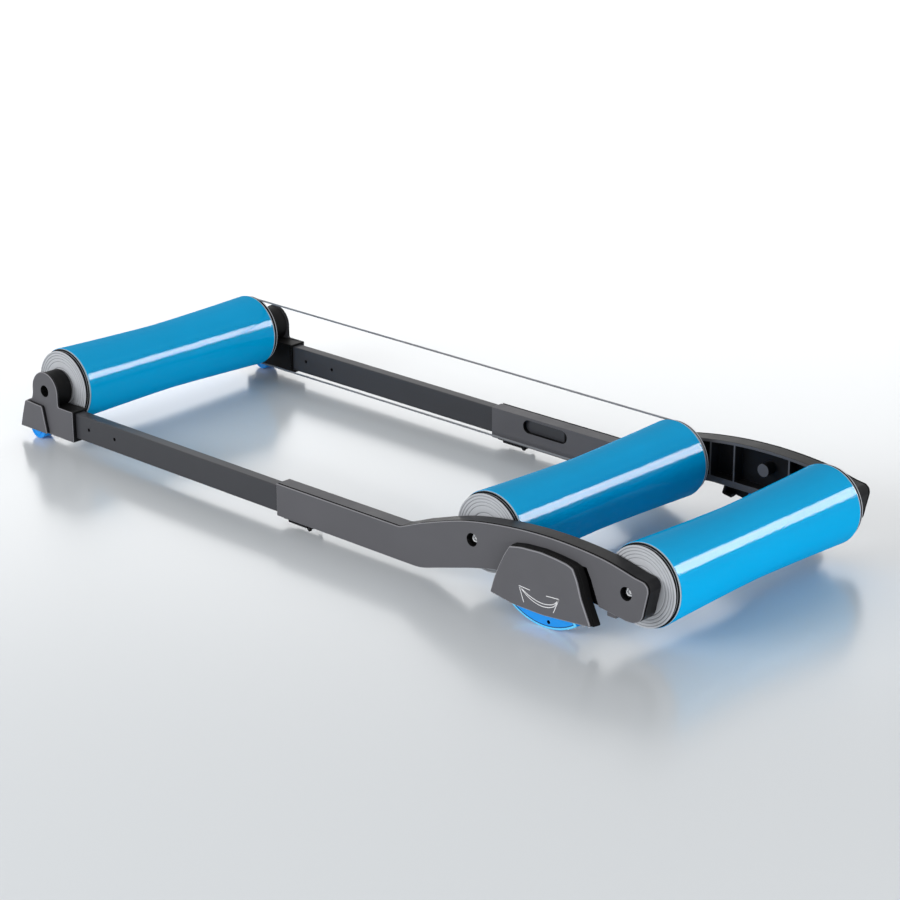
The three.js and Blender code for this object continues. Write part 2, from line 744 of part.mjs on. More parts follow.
// Lock lever: pulled down at its front end, it takes its brake pad off the beam
function lockLever() {
  const x1 = leverFrontX + leverLength;
  const outer = armMiddle + leverWidth / 2;
  const inner = armMiddle - leverWidth / 2;
  const slot = springWidth / 2 + clearance;
  const profile = [
    new THREE.Vector2(leverFrontX, -leverTop - leverThickness / 2),
    new THREE.Vector2(leverFrontX + leverThickness * 2, -leverTop - leverThickness),
    new THREE.Vector2(leverPinX, -leverTop - leverThickness),
    new THREE.Vector2(x1, -leverTop - leverThickness / 2),
    new THREE.Vector2(leverPinX + clearance, -leverTop),
    new THREE.Vector2(leverFrontX, -leverTop),
  ];
  return skin(cut(
    joined(plate(profile, outer, inner), block(padX, padX + padLength,
      -armMiddle - padWidth / 2, -armMiddle + padWidth / 2,
      -leverTop - leverThickness / 2, -beamBottom - clearance)),
    bar(leverPinX, leverPinZ, leverPinRadius + clearance, outer + overrun, inner - overrun,
      smallSides),
    block(leverPinX - springRadius - clearance * 2, x1 + overrun, -armMiddle - slot,
      -armMiddle + slot, -leverTop - leverThickness - overrun, -leverTop + overrun)));
}
pair('lock_lever', lockLever(), darkPlastic);

pair('lock_pin', bar(leverPinX, leverPinZ, leverPinRadius,
  armMiddle + leverWidth / 2 + clearance + earThickness,
  armMiddle - leverWidth / 2 - clearance - earThickness, smallSides), steel);

function lockSpring() {
  const bore = leverPinRadius + clearance;
  const half = springWidth / 2;
  return turned([
    [bore, -half], [springRadius, -half], [springRadius, half], [bore, half], [bore, -half],
  ], smallSides, leverPinX, -armMiddle, leverPinZ - clearance / 2);
}
pair('lock_spring', lockSpring(), steel);

// Front bracket: ear for the axle, block over the beam's end, well for the wheel
function bracketOutline() {
  const shape = new THREE.Shape();
  shape.moveTo(frontX + bracketRear, -bracketBottom);
  shape.lineTo(frontX + bracketRear, -bracketTop);
  earRearShares.forEach(([along, up]) => {
    shape.lineTo(frontX + along * earTopRadius, up * earTopRadius);
  });
  shape.absarc(frontX, 0, earTopRadius, 0, Math.PI, false);
  earFrontShares.forEach(([along, up]) => {
    shape.lineTo(frontX + along * earTopRadius, up * earTopRadius);
  });
  shape.lineTo(frontX - bracketFront, -bracketTop - armWall);
  shape.lineTo(frontX - bracketFront, -bracketBottom + armWall);
  shape.lineTo(frontX - bracketFront / 2, -bracketBottom);
  return shape.getPoints(earSteps);
}

function frontBracket() {
  const well = wheelRadius + wheelRoom;
  const earOnly = block(frontX - bracketFront - overrun, frontX + bracketRear,
    -bracketOuter + armWall, -bracketInner + overrun, -bracketTop + armWall / 2,
    earTopRadius + overrun);
  let body = cut(solid(plate(bracketOutline(), bracketOuter, bracketInner, bracketBevel)),
    earOnly);
  body = body.add(solid(bar(frontX, 0, earTopRadius - frontBossInset, bracketOuter - armWall / 2,
    frontBossInner, capSides)));
  body = cut(body, beamPassage(beamFrontX - clearance, frontX + bracketRear + overrun));
  return skin(cut(withAxleSeat(body, frontX, bracketOuter, frontBossInner),
    block(wheelX - well, wheelX + well, -bracketOuter - overrun, -wheelInner + wheelRoom / 2,
      -axleHeight, wheelZ + well),
    bar(wheelX, wheelZ, wheelPinRadius + clearance, bracketOuter, wheelPinInner - clearance)));
}
pair('front_bracket', frontBracket(), framePaint);

function frontWheel() {
  const profile = turned([
    [wheelPinRadius + clearance, -wheelOuter], [wheelRadius, -wheelOuter],
    [wheelRadius, -wheelInner], [wheelPinRadius + clearance, -wheelInner],
    [wheelPinRadius + clearance, -wheelOuter],
  ], wheelSides);
  return profile.rotateY(Math.PI / wheelSides).translate(wheelX, 0, wheelZ);
}
pair('front_wheel', frontWheel(), footBlue);

pair('wheel_pin', bar(wheelX, wheelZ, wheelPinRadius, wheelPinOuter, wheelPinInner), steel);

function frontCover() {
  const rise = frontCoverBottom - frontCoverTop;
  const outline = frontCoverShares.map(([along, up]) => new THREE.Vector2(
    frontX + along * frontCoverReach, up * rise - frontCoverBottom));
  const back = bracketOuter + clearance;
  const mouth = wheelRadius + wheelRoom;
  return skin(cut(solid(plate(outline, frontCoverOuter, back, bracketBevel)),
    plate(inset(outline, frontCoverWall), frontCoverOuter - frontCoverWall, back - overrun),
    block(wheelX - mouth, wheelX + mouth, -frontCoverOuter + frontCoverWall,
      -back + overrun, -axleHeight, wheelZ)));
}
pair('front_cover', frontCover(), coverPlastic);

export default group;
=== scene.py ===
import json
import math

import bmesh
import bpy
from mathutils import Matrix, Vector

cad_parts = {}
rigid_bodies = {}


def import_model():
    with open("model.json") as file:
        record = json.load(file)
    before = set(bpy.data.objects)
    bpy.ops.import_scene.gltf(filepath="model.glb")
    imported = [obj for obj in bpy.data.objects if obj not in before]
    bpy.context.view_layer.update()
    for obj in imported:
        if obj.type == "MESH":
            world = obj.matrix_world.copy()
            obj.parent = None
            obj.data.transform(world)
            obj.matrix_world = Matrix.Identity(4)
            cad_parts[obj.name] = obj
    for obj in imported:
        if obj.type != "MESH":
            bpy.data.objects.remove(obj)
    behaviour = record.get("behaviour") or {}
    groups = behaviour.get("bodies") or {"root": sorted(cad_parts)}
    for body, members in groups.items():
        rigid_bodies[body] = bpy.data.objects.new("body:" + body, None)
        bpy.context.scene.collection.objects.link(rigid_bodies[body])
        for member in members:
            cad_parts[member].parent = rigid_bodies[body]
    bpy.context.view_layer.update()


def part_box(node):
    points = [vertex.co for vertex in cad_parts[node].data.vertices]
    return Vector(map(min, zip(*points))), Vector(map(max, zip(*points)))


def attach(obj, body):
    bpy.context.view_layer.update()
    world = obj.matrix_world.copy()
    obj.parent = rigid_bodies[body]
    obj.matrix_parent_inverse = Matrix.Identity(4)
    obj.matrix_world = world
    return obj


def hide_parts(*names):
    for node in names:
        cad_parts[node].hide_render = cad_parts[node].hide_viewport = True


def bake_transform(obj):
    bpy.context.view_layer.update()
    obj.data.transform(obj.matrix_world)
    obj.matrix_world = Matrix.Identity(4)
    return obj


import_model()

# The shapes are drawn in millimetres from the rear axle's middle, with the left side at negative Y
mm = 0.001
rearLow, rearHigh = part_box("rear_axle")
rearAxle = (rearLow + rearHigh) / 2
toFrame = Matrix.Translation((rearAxle.x, 0, rearAxle.z)) @ Matrix.Scale(mm, 4)
sides = ("left", "right")
rollers = {"rear": 0, "middle": -253, "front": -1109}  # each roller's axle
rollerY = -7  # rollers' middle, off the frame's middle


# Outlines

def signedArea(points):
    return sum(a[0] * b[1] - b[0] * a[1] for a, b in zip(points, points[1:] + points[:1])) / 2


def inset(points, distance):
    turn = 1 if signedArea(points) > 0 else -1
    moved = []
    for before, here, after in zip(points[-1:] + points[:-1], points, points[1:] + points[:1]):
        here = Vector(here)
        arriving = (here - Vector(before)).normalized()
        leaving = (Vector(after) - here).normalized()
        side = Vector((-arriving.y, arriving.x)) * turn
        inward = side + Vector((-leaving.y, leaving.x)) * turn
        inward = inward.normalized() if inward.length > 1e-5 else side
        moved.append(tuple(here + inward * distance / max(inward.dot(side), 0.4)))
    return moved


def softened(corners, steps=5):  # corners are (u, v) or (u, v, radius)
    points = []
    for i, corner in enumerate(corners):
        here = Vector(corner[:2])
        if len(corner) < 3:
            points.append(tuple(here))
            continue
        back = Vector(corners[i - 1][:2]) - here
        ahead = Vector(corners[(i + 1) % len(corners)][:2]) - here
        reach = min(corner[2] / math.tan(back.angle(ahead) / 2),
                    back.length * 0.48, ahead.length * 0.48)
        start, end = here + back.normalized() * reach, here + ahead.normalized() * reach
        for k in range(steps + 1):
            t = k / steps
            points.append(tuple(start * (1 - t) ** 2 + here * 2 * t * (1 - t) + end * t * t))
    return points


def insetCorners(corners, distance, steps=5):
    places = inset([corner[:2] for corner in corners], distance)
    return softened([(*place, *corner[2:]) for place, corner in zip(places, corners)], steps)


def curveThrough(points, steps):  # a smooth run through every point
    last = len(points) - 1
    run = []
    for k in range(steps + 1):
        place = last * k / steps
        i = min(int(place), last - 1)
        t = place - i
        p0, p1, p2, p3 = (Vector(points[min(max(j, 0), last)]) for j in range(i - 1, i + 3))
        v0, v1 = (p2 - p0) / 2, (p3 - p1) / 2
        run.append(tuple((2 * p1 - 2 * p2 + v0 + v1) * t ** 3
                         + (-3 * p1 + 3 * p2 - 2 * v0 - v1) * t ** 2 + v0 * t + p1))
    return run


def arc(x, z, radius, start, end, steps):
    turn = [math.radians(start + (end - start) * k / steps) for k in range(steps + 1)]
    return [(x + radius * math.cos(a), z + radius * math.sin(a)) for a in turn]


def oblong(u0, u1, v0, v1, *radius):
    return [(u, v, *radius) for u, v in ((u0, v0), (u1, v0), (u1, v1), (u0, v1))]


# Solids

def loft(layers):
    bm = bmesh.new()
    rings = [[bm.verts.new(point) for point in layer] for layer in layers]
    for low, high in zip(rings, rings[1:]):
        for i, vert in enumerate(low):
            j = (i + 1) % len(low)
            bm.faces.new((vert, low[j], high[j], high[i]))
    bm.faces.new(rings[0])
    bm.faces.new(rings[-1][::-1])
    bmesh.ops.recalc_face_normals(bm, faces=bm.faces)
    return bm


def atDepth(points, y):
    return [(x, y, z) for x, z in points]


def edgeLayers(radius, steps=4):  # how deep and how far in a rounded edge stands
    if not radius:
        return [(0, 0)]
    turn = [math.pi / 2 * k / steps for k in range(steps + 1)]
    return [(radius * (1 - math.cos(a)), radius * (1 - math.sin(a))) for a in turn]


def plate(points, outer, inner, outerEdge=0.0, innerEdge=0.0, waist=()):
    layers = [(-outer + deep, within) for deep, within in edgeLayers(outerEdge)]
    layers += waist  # more layers, as a distance along Y and how far in
    layers += [(-inner - deep, within) for deep, within in edgeLayers(innerEdge)[::-1]]
    return loft([atDepth(inset(points, within) if within else points, y) for y, within in layers])


def turned(profile, x=0.0, z=0.0, around=96, closed=True):
    bm = bmesh.new()
    turn = [2 * math.pi * k / around for k in range(around)]
    rings = [[bm.verts.new((x + radius * math.cos(a), along, z + radius * math.sin(a)))
              for a in (turn if radius > 1e-6 else [0])] for radius, along in profile]
    for low, high in zip(rings, rings[1:] + (rings[:1] if closed else [])):
        for i in range(around):
            j = (i + 1) % around
            corners = ([low[0]] if len(low) == 1 else [low[i], low[j]]) + (
                [high[0]] if len(high) == 1 else [high[j], high[i]])
            if len(corners) > 2:
                bm.faces.new(corners)
    bmesh.ops.recalc_face_normals(bm, faces=bm.faces)
    return bm


def block(x0, x1, y0, y1, z0, z1):
    return loft([atDepth(oblong(x0, x1, z0, z1), y) for y in (y0, y1)])


def bar(x, z, radius, outer, inner, around=48, edge=0.0):
    profile = [(0, -outer), (radius - edge, -outer), (radius, -outer + edge),
               (radius, -inner - edge), (radius - edge, -inner), (0, -inner)]
    return turned(profile if edge else profile[:2] + profile[4:], x, z, around, False)


def painted(bm, rule):  # the rule finds a face's material from its middle and its normal
    for face in bm.faces:
        face.material_index = rule(face.calc_center_median(), face.normal)
    return bm


def marked(bm, index):
    return painted(bm, lambda centre, normal: index)


def together(*parts):
    whole = bmesh.new()
    for part in parts:
        mesh = meshOf(part, "part")
        whole.from_mesh(mesh)
        bpy.data.meshes.remove(mesh)
    return whole


def linked(name, data):
    made = bpy.data.objects.new(name, data)
    bpy.context.scene.collection.objects.link(made)
    return made


def meshOf(bm, name, materials=()):
    mesh = bpy.data.meshes.new(name)
    bm.to_mesh(mesh)
    bm.free()
    for material in materials:
        mesh.materials.append(material)
    return mesh


def looseObject(bm):
    return linked("loose", meshOf(bm, "loose", [None] * 4))


def baked(host):
    mesh = bpy.data.meshes.new_from_object(
        host.evaluated_get(bpy.context.evaluated_depsgraph_get()))
    bpy.data.objects.remove(host)
    return mesh


def shaped(body, *steps):  # steps are ("cut" or "add" or "keep", solid)
    ways = {"cut": "DIFFERENCE", "add": "UNION", "keep": "INTERSECT"}
    host = looseObject(body)
    tools = []
    for way, solid in steps:
        tools.append(looseObject(solid))
        modifier = host.modifiers.new(way, "BOOLEAN")
        modifier.operation = ways[way]
        modifier.solver = "EXACT"
        modifier.object = tools[-1]
    mesh = baked(host)
    whole = bmesh.new()
    whole.from_mesh(mesh)
    bmesh.ops.dissolve_degenerate(whole, dist=0.001, edges=whole.edges)
    for tool in tools:
        bpy.data.objects.remove(tool)
    bpy.data.meshes.remove(mesh)
    return whole


def cut(solid, index=0):  # the index is the material of the faces that the cut leaves
    return "cut", marked(solid, index)


def add(solid, index=0):
    return "add", marked(solid, index)


def mirrored(bm):
    other = bm.copy()
    bmesh.ops.scale(other, vec=(1, -1, 1), verts=other.verts)
    bmesh.ops.reverse_faces(other, faces=other.faces)
    return other


# Pieces

def keepPiece(name, mesh, body, nodes=(), sharp=38):
    mesh.name = name
    mesh.transform(toFrame)
    mesh.shade_smooth()
    if sharp:
        mesh.set_sharp_from_angle(angle=math.radians(sharp))
    piece = linked(name, mesh)
    if nodes:
        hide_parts(*nodes)
    if body:
        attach(piece, body)
    return piece


def addPiece(name, bm, materials, body, slotName, nodes=(), weigh=True):
    piece = keepPiece(name, meshOf(bm, name, materials), body, nodes)
    if weigh:
        smoothing = piece.modifiers.new("weigh", "WEIGHTED_NORMAL")
        smoothing.keep_sharp = True
        smoothing.weight = 80
    return piece


def pair(name, bm, materials, body, slotName, part=None, **more):
    bodyNames = body if isinstance(body, tuple) else (body, body)
    for side, shape, bodyName in zip(sides, (bm.copy(), mirrored(bm)), bodyNames):
        nodes = [f"{side}_{part}"] if part else []
        addPiece(f"{side}_{name}", shape, materials, bodyName, slotName, nodes, **more)
    bm.free()


# Nodes

def fill(tree, made, values):
    for key, value in values.items():
        if isinstance(value, bpy.types.NodeSocket):
            tree.links.new(value, made.inputs[key])
        else:
            made.inputs[key].default_value = value
    return made


def node(tree, kind, values=None, **settings):
    made = tree.nodes.new(kind)
    for key, value in settings.items():
        setattr(made, key, value)
    return fill(tree, made, values or {})


def result(tree, kind, values=None, **settings):
    return node(tree, kind, values, **settings).outputs[0]


socketKinds = {float: "Float", int: "Int", tuple: "Vector", type(None): "Geometry"}


def newGroup(name, inputs, outputs=None):  # a start value's type gives its socket's type
    tree = bpy.data.node_groups.new(name, "ShaderNodeTree" if outputs else "GeometryNodeTree")
    for way, starts in (("INPUT", inputs), ("OUTPUT", outputs or {"Geometry": None})):
        for label, start in starts.items():
            socket = tree.interface.new_socket(
                label, in_out=way, socket_type="NodeSocket" + socketKinds[type(start)])
            if start is not None:
                socket.default_value = start
    return tree, node(tree, "NodeGroupInput").outputs


def maths(tree, operation, first, second=0.0):
    return result(tree, "ShaderNodeMath", {0: first, 1: second}, operation=operation)


def ranged(tree, value, low, high, toLow=0.0, toHigh=1.0):
    return result(tree, "ShaderNodeMapRange", {
        "Value": value, "From Min": low, "From Max": high, "To Min": toLow, "To Max": toHigh})


def colour(red, green, blue):
    parts = [c / 255 for c in (red, green, blue)]
    return [*(c / 12.92 if c <= 0.04045 else ((c + 0.055) / 1.055) ** 2.4 for c in parts), 1]


def buildEdgeWear():
    tree, given = newGroup("edgeWear", {"Width": 0.0008, "Amount": 0.5, "Scale": 90.0},
                           {"Mask": 0.0, "Normal": (0.0, 0.0, 0.0)})
    place = node(tree, "ShaderNodeTexCoord").outputs["Object"]
    true = node(tree, "ShaderNodeNewGeometry").outputs["Normal"]
    rounded = node(tree, "ShaderNodeBevel", {"Radius": given["Width"]}, samples=6)
    likeness = node(tree, "ShaderNodeVectorMath",
                    {0: rounded.outputs["Normal"], 1: true}, operation="DOT_PRODUCT")
    edge = ranged(tree, likeness.outputs["Value"], 0.995, 0.8)
    patches = node(tree, "ShaderNodeTexNoise",
                   {"Vector": place, "Scale": given["Scale"], "Detail": 5.0})
    worn = ranged(tree, patches.outputs["Fac"], 0.42, 0.62, 0.35)
    mask = maths(tree, "MULTIPLY", maths(tree, "MULTIPLY", edge, worn), given["Amount"])
    node(tree, "NodeGroupOutput", {"Mask": mask, "Normal": rounded.outputs["Normal"]})
    return tree


def buildGrain():
    tree, given = newGroup("mouldGrain", {"Scale": 1500.0, "Stretch": (1, 1, 1)},
                           {"Height": 0.0, "Tone": 0.0})
    place = node(tree, "ShaderNodeTexCoord").outputs["Object"]
    stretched = result(tree, "ShaderNodeVectorMath",
                       {0: place, 1: given["Stretch"]}, operation="MULTIPLY")
    fine = node(tree, "ShaderNodeTexVoronoi", {"Vector": stretched, "Scale": given["Scale"]},
                feature="SMOOTH_F1")
    soft = node(tree, "ShaderNodeTexNoise",
                {"Vector": stretched, "Scale": given["Scale"], "Detail": 3.0})
    height = maths(tree, "ADD", fine.outputs["Distance"], soft.outputs["Fac"])
    broad = node(tree, "ShaderNodeTexNoise", {"Vector": place, "Scale": 14.0, "Detail": 4.0})
    node(tree, "NodeGroupOutput", {"Height": height, "Tone": broad.outputs["Fac"]})
    return tree


def buildDust():
    tree, given = newGroup("settledDust", {"Amount": 0.1, "Scale": 45.0}, {"Mask": 0.0})
    place = node(tree, "ShaderNodeTexCoord").outputs["Object"]
    up = node(tree, "ShaderNodeSeparateXYZ",
              {0: node(tree, "ShaderNodeNewGeometry").outputs["Normal"]}).outputs["Z"]
    lying = ranged(tree, up, 0.3, 1.0)
    specks = node(tree, "ShaderNodeTexNoise",
                  {"Vector": place, "Scale": given["Scale"], "Detail": 8.0, "Roughness": 0.7})
    seen = ranged(tree, specks.outputs["Fac"], 0.45, 0.75)
    mask = maths(tree, "MULTIPLY", maths(tree, "MULTIPLY", lying, seen), given["Amount"])
    node(tree, "NodeGroupOutput", {"Mask": mask})
    return tree


edgeWear, mouldGrain, settledDust = buildEdgeWear(), buildGrain(), buildDust()


def placed(tree, group, **values):
    return node(tree, "ShaderNodeGroup", values, node_tree=group).outputs


def mixed(tree, mask, base, over):  # the Mix node's colour sockets are 6 and 7, and its result 2
    return node(tree, "ShaderNodeMix", {0: mask, 6: base, 7: over}, data_type="RGBA").outputs[2]


def newMaterial(name):
    material = bpy.data.materials.new(name)
    material.use_nodes = True
    return material, material.node_tree, material.node_tree.nodes["Principled BSDF"]


def finish(name, tint, rough, grain=1500, depth=30, stretch=(1, 1, 1), worn=None, wear=0.5,
           dust=0.08, tone=0.12, spread=0.08, shader=None):  # depth in micrometres
    tint = colour(*tint)
    material, tree, principled = newMaterial(name)
    grained = placed(tree, mouldGrain, Scale=grain, Stretch=stretch)
    edges = placed(tree, edgeWear, Amount=wear)
    dusty = placed(tree, settledDust, Amount=dust)
    darker = [c * (1 - tone) for c in tint[:3]] + [1]
    lighter = [min(c * (1 + tone), 1) for c in tint[:3]] + [1]
    base = mixed(tree, grained["Tone"], darker, lighter)
    base = mixed(tree, edges["Mask"], base, colour(*worn) if worn else lighter)
    base = mixed(tree, dusty["Mask"], base, colour(176, 172, 166))
    roughness = ranged(tree, grained["Tone"], 0.3, 0.7, rough - spread, rough + spread)
    bump = result(tree, "ShaderNodeBump", {
        "Height": grained["Height"], "Normal": edges["Normal"], "Strength": 0.6,
        "Distance": depth * 1e-6})
    fill(tree, principled, {"Base Color": base, "Roughness": roughness, "Normal": bump,
                            **(shader or {})})
    return material


matt, darkMatt = {"Specular IOR Level": 0.28}, {"Specular IOR Level": 0.15}
facePlastic = finish(
    "facePlastic", (88, 88, 92), 0.42, worn=(150, 150, 154), wear=0.55, shader=matt)
coverPlastic = finish(
    "coverPlastic", (90, 90, 94), 0.4, grain=1700, worn=(158, 158, 162), wear=0.6, shader=matt)
# lighter grey painted as a highlight on the rounded edges of the grey faces
paintedHighlightPlastic = finish("paintedHighlightPlastic", (132, 132, 137), 0.36, grain=1700, worn=(200, 200, 204))
# charcoal painted as shade on the tops, sides, ends, hollows and passages of the grey arms,
# brackets and covers, and on the drums' lip ends; the lock lever is this charcoal all over
paintedShadePlastic = finish(
    "paintedShadePlastic", (25, 25, 27), 0.36, worn=(70, 70, 74), wear=0.3, dust=0.03, shader=darkMatt)
# near black: the own colour of the plugs, the grip ribs and the lever's pivot ears, and painted
# shade in the wells, holes, window, seams, channels, belt grooves, the covers' rear rims, inside
# the beams and on the bracket blocks
blackPlasticAndShade = finish(
    "blackPlasticAndShade", (10, 10, 11), 0.5, worn=(36, 36, 38), wear=0.4, dust=0.02, shader=darkMatt)
beamPaint = finish(
    "beamPaint", (60, 61, 65), 0.33, grain=800, depth=20, worn=(92, 94, 98), wear=0, dust=0,
    tone=0.04, spread=0.03, shader=matt)
sleeveBlue = finish(
    "sleeveBlue", (0, 172, 232), 0.3, grain=420, depth=6, stretch=(1, 0.25, 1),
    worn=(120, 200, 235), wear=0.3, dust=0, tone=0.04, spread=0.05,
    shader={"Specular IOR Level": 0.0, "Coat Weight": 0.1, "Coat Roughness": 0.01,
            "Coat IOR": 1.9})
footBlue = finish(
    "footBlue", (20, 142, 228), 0.36, grain=900, depth=20, worn=(120, 200, 250), wear=0.7,
    dust=0.04, shader={"Specular IOR Level": 0.3, "Coat Weight": 0.2, "Coat Roughness": 0.12})
# lighter cyan painted as a highlight on the foot's rim
footRimHighlight = finish(
    "footRimHighlight", (96, 200, 252), 0.36, grain=900, depth=20, worn=(170, 225, 255), wear=0.7,
    dust=0.02)
footShade = finish("footShade", (6, 62, 120), 0.4, grain=900, dust=0)
capGrey = finish(
    "capGrey", (184, 187, 192), 0.4, grain=1300, depth=20, worn=(210, 212, 216),
    tone=0.05, shader=matt)
ringShade = finish(
    "ringShade", (150, 153, 158), 0.5, grain=1300, depth=20, tone=0.05, shader=matt)
lipGrey = finish(
    "lipGrey", (176, 190, 198), 0.36, grain=900, depth=10, worn=(214, 222, 228), tone=0.04)
steel = finish(
    "steel", (196, 198, 201), 0.24, grain=500, depth=10, stretch=(1, 0.08, 1),
    worn=(225, 226, 228), wear=0.4, dust=0.02, tone=0.06, shader={"Metallic": 1.0})
brightSteel = finish(
    "brightSteel", (226, 227, 229), 0.16, grain=700, depth=8, worn=(245, 245, 246),
    wear=0.4, dust=0, tone=0.04, spread=0.04, shader={"Metallic": 1.0})
sealRubber = finish("sealRubber", (30, 30, 32), 0.6, grain=1200)
darkSteel = finish(
    "darkSteel", (52, 53, 56), 0.4, grain=900, depth=10, dust=0, shader={"Metallic": 0.8})
beltRubber = finish(
    "beltRubber", (112, 115, 120), 0.3, grain=2200, depth=10, dust=0,
    shader={"Coat Weight": 0.6, "Coat Roughness": 0.1})
arrowInk = finish(
    "arrowInk", (228, 228, 230), 0.5, grain=1800, depth=10, wear=0, dust=0.02, tone=0.03)
print("finishes ready")


# Geometry Nodes

def grown(tree, values, start=None):
    host = linked("grown", start or bpy.data.meshes.new("grown"))
    modifier = host.modifiers.new("shape", "NODES")
    modifier.node_group = tree
    for item in tree.interface.items_tree:
        if item.item_type == "SOCKET" and item.in_out == "INPUT" and item.name in values:
            modifier[item.identifier] = values[item.name]
    return baked(host)


def facedOut(mesh):
    bm = bmesh.new()
    bm.from_mesh(mesh)
    bmesh.ops.recalc_face_normals(bm, faces=bm.faces)
    bm.to_mesh(mesh)
    bm.free()
    return mesh


def endTree(tree, geometry, material):
    real = result(tree, "GeometryNodeRealizeInstances", {"Geometry": geometry})
    dressed = result(tree, "GeometryNodeSetMaterial", {"Geometry": real, "Material": material})
    node(tree, "NodeGroupOutput", {"Geometry": dressed})


# Drum sleeve: a wall whose radius grows from its waist to both ends
sleeve = {"Half length": 183.0, "End radius": 55.0, "Waist": 5.0, "Power": 1.35, "Wall": 3.4}


def buildSleeveTree():
    tree, given = newGroup("waistedSleeve", sleeve)
    depth = maths(tree, "MULTIPLY", given["Half length"], 2.0)
    tube = result(tree, "GeometryNodeMeshCylinder", {
        "Vertices": 160, "Side Segments": 48, "Radius": 1.0, "Depth": depth}, fill_type="NONE")
    spot = result(tree, "GeometryNodeInputPosition")
    parts = node(tree, "ShaderNodeSeparateXYZ", {0: spot}).outputs
    share = maths(tree, "DIVIDE", maths(tree, "ABSOLUTE", parts["Z"]), given["Half length"])
    fall = maths(tree, "SUBTRACT", 1.0, maths(tree, "POWER", share, given["Power"]))
    radius = maths(tree, "SUBTRACT", given["End radius"],
                   maths(tree, "MULTIPLY", given["Waist"], fall))
    lying = result(tree, "ShaderNodeCombineXYZ", {
        "X": maths(tree, "MULTIPLY", parts["X"], radius), "Y": parts["Z"],
        "Z": maths(tree, "MULTIPLY", parts["Y"], radius)})
    bent = result(tree, "GeometryNodeSetPosition", {"Geometry": tube, "Position": lying})
    whole = node(tree, "GeometryNodeJoinGeometry")
    for layer in (
            result(tree, "GeometryNodeExtrudeMesh", {
                "Mesh": bent, "Offset Scale": given["Wall"], "Individual": False}, mode="FACES"),
            result(tree, "GeometryNodeFlipFaces", {"Mesh": bent})):
        tree.links.new(layer, whole.inputs[0])
    endTree(tree, result(tree, "GeometryNodeMergeByDistance", {
        "Geometry": whole.outputs[0], "Distance": 0.001}), sleeveBlue)
    return tree


# Lip: the drum's bare rim beyond the coloured sleeve, with a rounded edge; its end face is
# charcoal as painted shade
lip = {"radius": 54.3, "inner": 51.6, "length": 3.0, "edge": 0.9}


def drumLips():
    start = sleeve["Half length"]
    end = start + lip["length"]
    profile = softened([(lip["inner"], start), (lip["radius"], start),
                        (lip["radius"], end, lip["edge"]), (lip["inner"], end, 0.4)], 4)
    bm = together(*(turned([(radius, sign * along) for radius, along in profile], around=160)
                    for sign in (1, -1)))
    return painted(bm, lambda centre, normal: int(abs(centre.y) > end - lip["edge"] * 0.5))


# Cap: a stepped face of shallow rings, a belt groove behind its rim and a bearing seat; the groove
# is painted black and the rings' floors darker grey as shade
cap = {
    "face": [(52.5, 190.9, 0.5), (52.5, 192.35, 0.7), (50.3, 192.4, 0.2), (50.0, 191.8, 0.2),
             (49.2, 191.8, 0.2), (48.9, 192.5, 0.2), (46.3, 192.5, 0.2), (46.0, 191.9, 0.2),
             (45.2, 191.9, 0.2), (44.9, 192.8, 0.2), (42.1, 192.8, 0.2), (41.8, 192.2, 0.2),
             (41.0, 192.2, 0.2), (40.7, 192.9, 0.2), (37.5, 192.9, 0.2), (37.2, 192.3, 0.2),
             (36.4, 192.3, 0.2), (36.1, 192.9, 0.2), (28.3, 192.9, 0.2), (28.0, 192.2, 0.2),
             (27.0, 192.2, 0.2), (26.7, 192.9, 0.2), (20.6, 192.9, 0.3), (19.6, 193.4, 0.4),
             (15.0, 193.4, 0.4), (14.3, 192.7)],
    "back": [(14.3, 184.8), (8.8, 184.8), (8.8, 182.0), (19.0, 188.1), (47.0, 188.1),
             (47.0, 175.0), (50.6, 175.0, 0.5), (51.0, 186.3)],
    "groove": [(51.0, 186.3), (49.8, 186.3, 0.5), (49.8, 190.1, 0.5), (51.9, 190.5, 0.3)],
    "dark": (186.2, 190.75, 49.2, 52.2), "shaded": (191.5, 192.35, 26.9, 50.2),
}


# painted shade: black in the belt's groove, darker grey on the rings' floors
def capMaterial(centre, normal):
    for index, room in ((1, "dark"), (2, "shaded")):  # the belt's groove, the rings' floors
        near, far, low, high = cap[room]
        if near < centre.y < far and low < math.hypot(centre.x, centre.z) < high:
            return index
    return 0


def rollerCap():
    profile = softened(cap["face"] + cap["back"] + cap["groove"][1:], 3)
    return painted(turned(profile, around=144), capMaterial)


# Ball bearing: two races with a recessed seal between them
bearing = {"outer": 14.0, "outerRace": 12.2, "innerRace": 8.4, "bore": 6.3, "near": 185.1,
           "far": 193.1, "edge": 0.4, "sealDepth": 0.5}


def ballBearing():
    near, far, edge = bearing["near"], bearing["far"], bearing["edge"]

    def race(low, high, recess, rim):
        section = oblong(low, high, near + recess, far - recess, rim)
        return turned(softened(section, 3), around=72)
    return together(race(bearing["outerRace"], bearing["outer"], 0, edge),
                    race(bearing["bore"], bearing["innerRace"], 0, edge),
                    marked(race(bearing["innerRace"] + 0.02, bearing["outerRace"] - 0.02,
                                bearing["sealDepth"], 0.1), 1))


def moved(bm, x, y=rollerY):
    bmesh.ops.translate(bm, vec=(x, y, 0), verts=bm.verts)
    return bm


